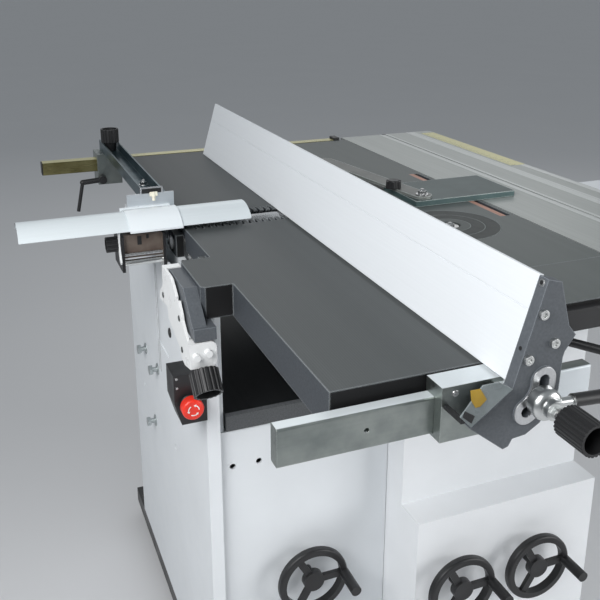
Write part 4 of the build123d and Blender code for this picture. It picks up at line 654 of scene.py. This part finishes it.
def trim_sliding_table():
    """The yellow scale on the sliding table, its black end caps and the pale strips along its grooves."""
    low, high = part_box("sliding_carriage")
    sheet, end_gap = 0.0004, 0.002
    scale_width, scale_inset, tick_pitch = 0.036, 0.002, 0.005
    scale_start, scale_end = 0.423, 0.026
    right = high.x - scale_inset
    left = right - scale_width
    near, far = high.y - scale_start, high.y - scale_end

    def strip(shape):
        add_block(shape, (left, near, high.z), (right, far, high.z + sheet))

    paper = printed_scale("scale_print", (0.74, 0.70, 0.36), tick_pitch, left, right)
    piece("table_scale", "sliding_table", "yellow_zinc", strip, paper, bevel=0.0)
    cap, cap_height, cap_drop = 0.004, 0.058, 0.001
    bottom, top = high.z - cap_height, high.z - cap_drop

    def caps(shape):
        add_block(shape, (low.x, low.y - cap, bottom), (high.x, low.y, top))
        add_block(shape, (low.x, high.y, bottom), (high.x, high.y + cap, top))

    piece("table_end_caps", "sliding_table", "black_plastic", caps, bevel=0.0012)
    sunk_filler, proud_filler = (0.119, -0.0012), (0.198, 0.0003)
    mouth_half, band_half, filler_half, filler_depth = 0.006, 0.0125, 0.0054, 0.004
    outer_width, foot = 0.015, 0.0002
    start, end = low.y + end_gap, high.y - end_gap

    def strips(shape):
        for offset, rise in (sunk_filler, proud_filler):
            x = low.x + offset
            add_block(shape, (x - filler_half, start, high.z - filler_depth),
                      (x + filler_half, end, high.z + rise))
            for side in (-1, 1):
                edges = sorted((x + side * mouth_half, x + side * band_half))
                add_block(shape, (edges[0], start, high.z - foot), (edges[1], end, high.z + sheet))
        add_block(shape, (right - outer_width, start, high.z - foot), (right, near - end_gap, high.z + sheet))

    light = extruded("groove_strip", (0.62, 0.64, 0.63), "Y", metallic=0.3, roughness=0.4)
    piece("groove_strips", "sliding_table", "carriage_aluminium", strips, light, bevel=0.0001)


def trim_fence_carriage():
    """The tilt cursor with its yellow pointer, before the fence's bracket, and a screw in the carriage."""
    carriage_proud = 0.0143
    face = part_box("fence_guide_bar")[0].y - carriage_proud
    cursor_back, cursor_sheet, pointer_sheet, hole_shade_sheet = -0.6120, 0.0020, 0.0008, 0.0006
    cursor_front = cursor_back - cursor_sheet

    def add_plate(shape, outline, back, thickness):
        add_prism(shape, [Vector((x, back, z)) for x, z in outline], thickness * OUT)

    def cursor(shape):
        outline = ((-0.1905, 0.8833), (-0.1706, 0.8831), (-0.1535, 0.8721), (-0.2016, 0.8375),
                   (-0.2157, 0.8521))
        add_plate(shape, outline, cursor_back, cursor_sheet)

    dull = moulded("cursor_plastic", (0.17, 0.195, 0.20), roughness=0.25)
    piece("tilt_cursor", "fence_carriage", "zinc_steel", cursor, dull)
    post_left, post_bottom, post_side = -0.2130, 0.8425, 0.0050

    def post(shape):
        add_block(shape, (post_left, cursor_back, post_bottom),
                  (post_left + post_side, face, post_bottom + post_side))

    piece("cursor_post", "fence_carriage", "black_plastic", post)

    def pointer(shape):
        outline = ((-0.2060, 0.8812), (-0.1942, 0.8810), (-0.1853, 0.8671), (-0.1930, 0.8600),
                   (-0.1985, 0.8600), (-0.2040, 0.8687))
        add_plate(shape, outline, cursor_front, pointer_sheet)

    yellow = moulded("pointer_yellow", (0.34, 0.21, 0.015), roughness=0.35)
    piece("fence_pointer", "fence_carriage", "yellow_zinc", pointer, yellow)

    # A black plate painted as the shade in the cursor's hole.
    def hole_shade(shape):
        outline = ((-0.2110, 0.8590), (-0.1985, 0.8505), (-0.2020, 0.8425), (-0.2130, 0.8520))
        add_plate(shape, outline, cursor_front, hole_shade_sheet)

    piece("fence_hole_shade", "fence_carriage", "black_plastic", hole_shade)
    screw_x, screw_z = -0.1995, 0.8585

    def screw(shape):
        add_socket_screw(shape, Vector((screw_x, face, screw_z)), OUT, radius=0.0042, height=0.0010,
                         top_radius=0.0036, socket_radius=0.0020, socket_height=0.0002)

    piece("carriage_screw", "fence_carriage", "bright_steel", screw)


def trim_stop_button():
    """The turn arrows on the emergency stop, the collar behind it and the screws of its box."""
    centre = middle("estop_button")
    centre.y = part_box("estop_button")[0].y
    inner, outer, sheet = 0.0072, 0.0088, 0.0003
    arrow_count, arrow_sweep, steps = 3, 1.15, 8
    head_overhang, head_sweep = 0.0016, 0.4

    def point(radius, turn):
        return centre + radius * Vector((math.cos(turn), 0.0, math.sin(turn)))

    def arrows(shape):
        for arrow in range(arrow_count):
            start = 2 * math.pi * arrow / arrow_count
            turns = [start + arrow_sweep * step / steps for step in range(steps + 1)]
            ring = [point(outer, turn) for turn in turns] + [point(inner, turn) for turn in reversed(turns)]
            add_prism(shape, ring, sheet * OUT)
            tip = turns[-1]
            head = (point(outer + head_overhang, tip), point(inner - head_overhang, tip),
                    point((inner + outer) / 2, tip + head_sweep))
            add_prism(shape, head, sheet * OUT)

    pale = moulded("arrow_white", (0.75, 0.72, 0.70), roughness=0.4)
    piece("stop_arrows", "estop_button", "lever_paint", arrows, pale, bevel=0.0)
    box_low, box_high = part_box("estop_box")
    front = box_low.y

    def collar(shape):
        base = Vector((centre.x, front, centre.z))
        add_disc(shape, base, OUT, radius=0.0150, height=0.0022, sides=40, top_radius=0.0138)

    piece("stop_collar", "machine", "black_plastic", collar)
    screw_inset, screw_drops = 0.0045, (0.005, 0.020)
    screw_x = box_low.x + screw_inset

    def screws(shape):
        for drop in screw_drops:
            add_disc(shape, (screw_x, front, box_high.z - drop), OUT, radius=0.0022, height=0.0010, sides=20,
                     top_radius=0.0018)

    piece("stop_screws", "machine", "bright_steel", screws)


def trim_guard_arm():
    """The loop on the end plate of the guard's arm, with a black block painted as the shade in its gap, and
    the nut in its channel.
    """
    near, far = arm_near, arm_near + ARM_SHEET
    left, right, wire = -0.384, -0.344, 0.0028
    bottom, top, gap_inset = 0.911, 0.922, 0.001

    def loop(shape):
        add_block(shape, (left, near, bottom), (left + wire, far, top))
        add_block(shape, (right - wire, near, bottom), (right, far, top))
        add_block(shape, (left, near, top - wire), (right, far, top))

    piece("guard_loop", "guard_carriage", "zinc_steel", loop, finishes["bright_aluminium"], bevel=0.001)

    # A black block painted as the shade in the loop's gap.
    def gap(shape):
        add_block(shape, (left + wire, near + gap_inset, bottom), (right - wire, far - gap_inset, top - wire))

    piece("guard_loop_gap_shade", "guard_carriage", "black_plastic", gap)
    nut_base = Vector((-0.3465, 0.3160, 0.8848))

    def nut(shape):
        add_nut_on_washer(shape, nut_base, washer_radius=0.0095, nut_radius=0.0070)

    piece("guard_nut", "guard_carriage", "bright_steel", nut)


def trim_guard_hand_parts():
    """The thumb screw on the guard's sleeve and the wing of the height knob."""
    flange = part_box("guard_sleeve")[1]
    screw_x, flange_inset, sunk = -0.3615, 0.0035, 0.0006
    base = Vector((screw_x, flange.y - flange_inset, flange.z - sunk))
    shank, grip_bottom, grip_top = 0.006, 0.008, 0.016
    grip_half = Vector((0.007, 0.0016, 0.0))

    def thumb_screw(shape):
        add_disc(shape, base, UP, radius=0.0030, height=shank, sides=20)
        add_disc(shape, base + shank * UP, UP, radius=0.0033, height=0.010, sides=24, top_radius=0.0028)
        add_block(shape, base - grip_half + grip_bottom * UP, base + grip_half + grip_top * UP)

    cream = moulded("cream_plastic", (0.80, 0.73, 0.60), roughness=0.35)
    piece("guard_thumb_screw", "guard_sleeve", "lever_paint", thumb_screw, cream, bevel=0.001)
    knob = middle("height_knob")
    wing_proud, wing_shift, wing_sheet = 0.0035, 0.008, 0.003
    start = Vector((holder_low.x - wing_proud, knob.y - wing_shift, knob.z))

    def wing(shape):
        outline = ((0.004, 0.006), (0.003, 0.020), (-0.003, 0.026), (-0.009, 0.022), (-0.006, 0.004),
                   (-0.010, -0.012), (-0.016, -0.026), (-0.012, -0.031), (-0.004, -0.026), (0.003, -0.008))
        add_prism(shape, [start + Vector((0.0, y, z)) for y, z in outline], wing_sheet * RIGHT)

    piece("height_wing", "height_knob", "lever_paint", wing, bevel=0.0008)


def trim_guard_rail():
    """The black cap on the inner end of the guard's rail and the plug in its outer end."""
    low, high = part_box("guard_rail")
    cap_lap, cap_reach, cap_side, cap_rise = 0.004, 0.012, 0.001, 0.006

    def cap(shape):
        add_block(shape, (high.x - cap_lap, low.y - cap_side, low.z - cap_side),
                  (high.x + cap_reach, high.y + cap_side, high.z + cap_rise))

    piece("rail_cap", "machine", "black_plastic", cap, bevel=0.002)
    lip, lip_inset, core_depth, rail_wall = 0.0025, 0.0005, 0.012, 0.003

    def plug(shape):
        add_block(shape, (low.x - lip, low.y + lip_inset, low.z + lip_inset),
                  (low.x, high.y - lip_inset, high.z - lip_inset))
        add_block(shape, (low.x, low.y + rail_wall, low.z + rail_wall),
                  (low.x + core_depth, high.y - rail_wall, high.z - rail_wall))

    piece("rail_plug", "machine", "black_plastic", plug, bevel=0.001)


def trim_guard_holder():
    """The chrome rod and the two black sheets painted as the shade in the openings on the near face of the
    guard's holder.
    """
    plate_overhang, sheet = 0.008, 0.0006
    face = holder_low.y + plate_overhang
    tall_opening = ((-0.4090, 0.8475), (-0.4020, 0.8625))
    short_opening = ((-0.3940, 0.8570), (-0.3895, 0.8645))

    # Black sheets painted as the shade in the two openings.
    def openings(shape):
        for (left, bottom), (right, top) in (tall_opening, short_opening):
            add_block(shape, (left, face - sheet, bottom), (right, face, top))

    piece("holder_opening_shades", "guard_carriage", "black_plastic", openings)
    rod_gap, rod_z = 0.0035, 0.8330
    rod_left, rod_right = holder_body

    def rod(shape):
        add_disc(shape, (rod_right, face - rod_gap, rod_z), LEFT, radius=0.0028, height=rod_right - rod_left,
                 sides=24)

    piece("holder_rod", "guard_carriage", "bright_steel", rod)


def trim_lever():
    """Dark screws in the holes of the infeed lever."""
    seat_depth = 0.003
    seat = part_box("infeed_lever")[0].x + seat_depth
    places = ((-0.0820, 0.8140), (-0.1820, 0.8160), (-0.1920, 0.7720))

    def screws(shape):
        for y, z in places:
            add_socket_screw(shape, Vector((seat, y, z)), LEFT, radius=0.0046, height=0.0040,
                             top_radius=0.0040, socket_radius=0.0022, socket_height=0.0003)

    dark = turned_steel("dark_screw", (0.16, 0.17, 0.17), roughness=0.35)
    piece("lever_screws", "infeed_lever", "bright_steel", screws, dark)


def trim_bracket():
    """The socket screw and the grub screw in the side of the fence's bracket, which leans with the fence."""
    lean = math.radians(16.0)
    outward = Vector((-math.cos(lean), 0.0, math.sin(lean)))
    upslope = Vector((math.sin(lean), 0.0, math.cos(lean)))
    foot = Vector((-0.1480, -0.5990, 0.8710))
    screw_rise, grub_rise, head_height = 0.1128, 0.0395, 0.0010
    screw, grub = foot + screw_rise * upslope, foot + grub_rise * upslope

    def head(shape):
        add_disc(shape, screw, outward, radius=0.0046, height=head_height, sides=28, top_radius=0.0040)

    piece("bracket_screw", "fence", "bright_steel", head, bevel=0.0)

    # The hexagon socket is a black disc painted as the shade in it; the grub screw is black.
    def sockets(shape):
        add_disc(shape, screw + head_height * outward, outward, radius=0.0026, height=0.0002, sides=6)
        add_disc(shape, grub, outward, radius=0.0024, height=0.0003, sides=24)

    piece("bracket_sockets", "fence", "black_plastic", sockets, bevel=0.0)


def trim_panel():
    """The black plug in the planer's side panel, and the panel's upright seam drawn as two lines of painted
    shade.
    """
    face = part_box("planer_side_panel")[0].x
    plug_base, rim_height = Vector((face, 0.0701, 0.6798)), 0.0020

    def plug(shape):
        add_disc(shape, plug_base, LEFT, radius=0.0090, height=rim_height, top_radius=0.0082)
        add_disc(shape, plug_base + rim_height * LEFT, LEFT, radius=0.0062, height=0.0008, top_radius=0.0055)

    piece("panel_plug", "machine", "black_plastic", plug)
    seam_bottom, seam_top, seam_sheet = 0.5600, 0.7750, 0.0003
    seam_lines = ((0.1640, 0.1652), (0.1760, 0.1768))

    # Two dark lines painted as the shade along the seam.
    def seam(shape):
        for near, far in seam_lines:
            add_block(shape, (face - seam_sheet, near, seam_bottom), (face, far, seam_top))

    shadow = moulded("seam_shadow", (0.20, 0.19, 0.18), roughness=0.6)
    piece("panel_seam", "machine", "white_paint", seam, shadow, bevel=0.0)


def trim_saw_cover():
    """The hand knob and the cap nut on the saw cover's arm."""
    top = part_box("cover_arm")[1].z
    knob_base, nut_base = Vector((0.0900, 0.1120, top)), Vector((0.1170, 0.0500, top))

    def knob(shape):
        add_lobes(shape, knob_base, radius=0.0160, height=0.016, lobes=6)

    piece("cover_knob", "saw_cover", "black_plastic", knob, bevel=0.0008)

    def nut(shape):
        add_nut_on_washer(shape, nut_base, washer_radius=0.0120, nut_radius=0.0080)

    piece("cover_nut", "saw_cover", "bright_steel", nut)


def trim_spindle():
    """The bright bolt in the top of the spindle."""
    base = middle("spindle_shaft")
    base.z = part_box("spindle_shaft")[1].z

    def bolt(shape):
        add_nut(shape, base, UP, radius=0.0075, height=0.004)

    piece("spindle_bolt", "spindle_shaft", "bright_steel", bolt)


def trim_cabinet():
    """The access door, with its screws, on the saw cabinet's outer side, and the vents on its far side."""
    low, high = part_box("saw_cabinet")
    ledge, inset, sheet, screw_inset = 0.058, 0.060, 0.0016, 0.025
    near, far = low.y + ledge + inset, high.y - inset
    bottom, top = low.z + inset, 0.70
    outside = high.x + sheet

    def door(shape):
        add_block(shape, (high.x, near, bottom), (outside, far, top))

    piece("cabinet_door", "machine", "white_paint", door, own_finishes["saw_cabinet"], bevel=0.0012)

    def screws(shape):
        for y in (near + screw_inset, far - screw_inset):
            for z in (bottom + screw_inset, top - screw_inset):
                add_disc(shape, (outside, y, z), RIGHT, radius=0.0070, height=0.0030, sides=24,
                         top_radius=0.0055)

    piece("door_screws", "machine", "zinc_steel", screws)
    vent_count, vent_bottom, vent_pitch = 8, 0.20, 0.022
    vent_half, vent_height, vent_sheet = 0.055, 0.006, 0.0006
    centre = middle("saw_cabinet").x

    # Black slabs painted as the shade inside the vent slots.
    def vents(shape):
        for row in range(vent_count):
            z = vent_bottom + vent_pitch * row
            add_block(shape, (centre - vent_half, high.y, z),
                      (centre + vent_half, high.y + vent_sheet, z + vent_height))

    piece("vent_slots", "machine", "black_paint", vents)


trim_sliding_table()
trim_fence_carriage()
trim_stop_button()
trim_guard_arm()
trim_guard_hand_parts()
trim_guard_rail()
trim_guard_holder()
trim_lever()
trim_bracket()
trim_panel()
trim_saw_cover()
trim_spindle()
trim_cabinet()


# Floor, light and camera

def studio_floor():
    """A plain pale floor that runs past the horizon of every view."""
    size = 60.0
    mesh = bpy.data.meshes.new("floor")
    corners = [(-size, -size, 0.0), (size, -size, 0.0), (size, size, 0.0), (-size, size, 0.0)]
    mesh.from_pydata(corners, [], [(0, 1, 2, 3)])
    floor = bpy.data.objects.new("floor", mesh)
    bpy.context.scene.collection.objects.link(floor)
    finish = Finish("floor_paint", roughness=0.8, edge=0.0)
    finish.colour(finish.mixed(finish.noise(1.5), (0.70, 0.70, 0.71), (0.73, 0.73, 0.74)))
    mesh.materials.append(finish.material)


def studio_world(colour, strength):
    """A pale surround."""
    world = bpy.data.worlds.new("studio")
    bpy.context.scene.world = world
    world.use_nodes = True
    background = world.node_tree.nodes["Background"]
    background.inputs["Color"].default_value = (*colour, 1.0)
    background.inputs["Strength"].default_value = strength


def soft_light(name, place, target, size, power):
    """A large area lamp aimed at a point."""
    lamp = bpy.data.lights.new(name, "AREA")
    lamp.shape = "RECTANGLE"
    lamp.size, lamp.size_y = size
    lamp.energy = power
    made = bpy.data.objects.new(name, lamp)
    bpy.context.scene.collection.objects.link(made)
    made.location = place
    made.rotation_euler = (Vector(target) - Vector(place)).to_track_quat("-Z", "Y").to_euler()


def photo_camera():
    """The camera of the photograph: its place, yaw, pitch, focal length and the frame's offset."""
    place = Vector((-0.6441, -1.2494, 1.2897))
    yaw, pitch = math.radians(21.73), math.radians(17.46)
    focal, image, centre_row = 832.8, 600.0, 228.0
    camera = bpy.data.cameras.new("photo_camera")
    camera.sensor_width = 36.0
    camera.lens = camera.sensor_width * focal / image
    camera.shift_y = (centre_row - image / 2) / image
    camera.clip_end = 200.0
    made = bpy.data.objects.new("photo_camera", camera)
    bpy.context.scene.collection.objects.link(made)
    made.location = place
    made.rotation_euler = (math.pi / 2 - pitch, 0.0, -yaw)
    bpy.context.scene.camera = made


studio_floor()
studio_world(colour=(0.83, 0.89, 0.94), strength=0.32)
soft_light("key", place=(-1.4, -1.0, 1.85), target=(-0.1, -0.45, 0.85), size=(1.2, 1.2), power=33.5)
soft_light("fill", place=(2.3, -2.0, 1.35), target=(0.1, -0.3, 0.7), size=(2.0, 1.6), power=47.0)
soft_light("rim", place=(1.5, 3.2, 2.4), target=(0.1, 0.0, 0.8), size=(3.0, 1.2), power=12.0)
photo_camera()
bpy.context.scene.view_settings.view_transform = "Standard"
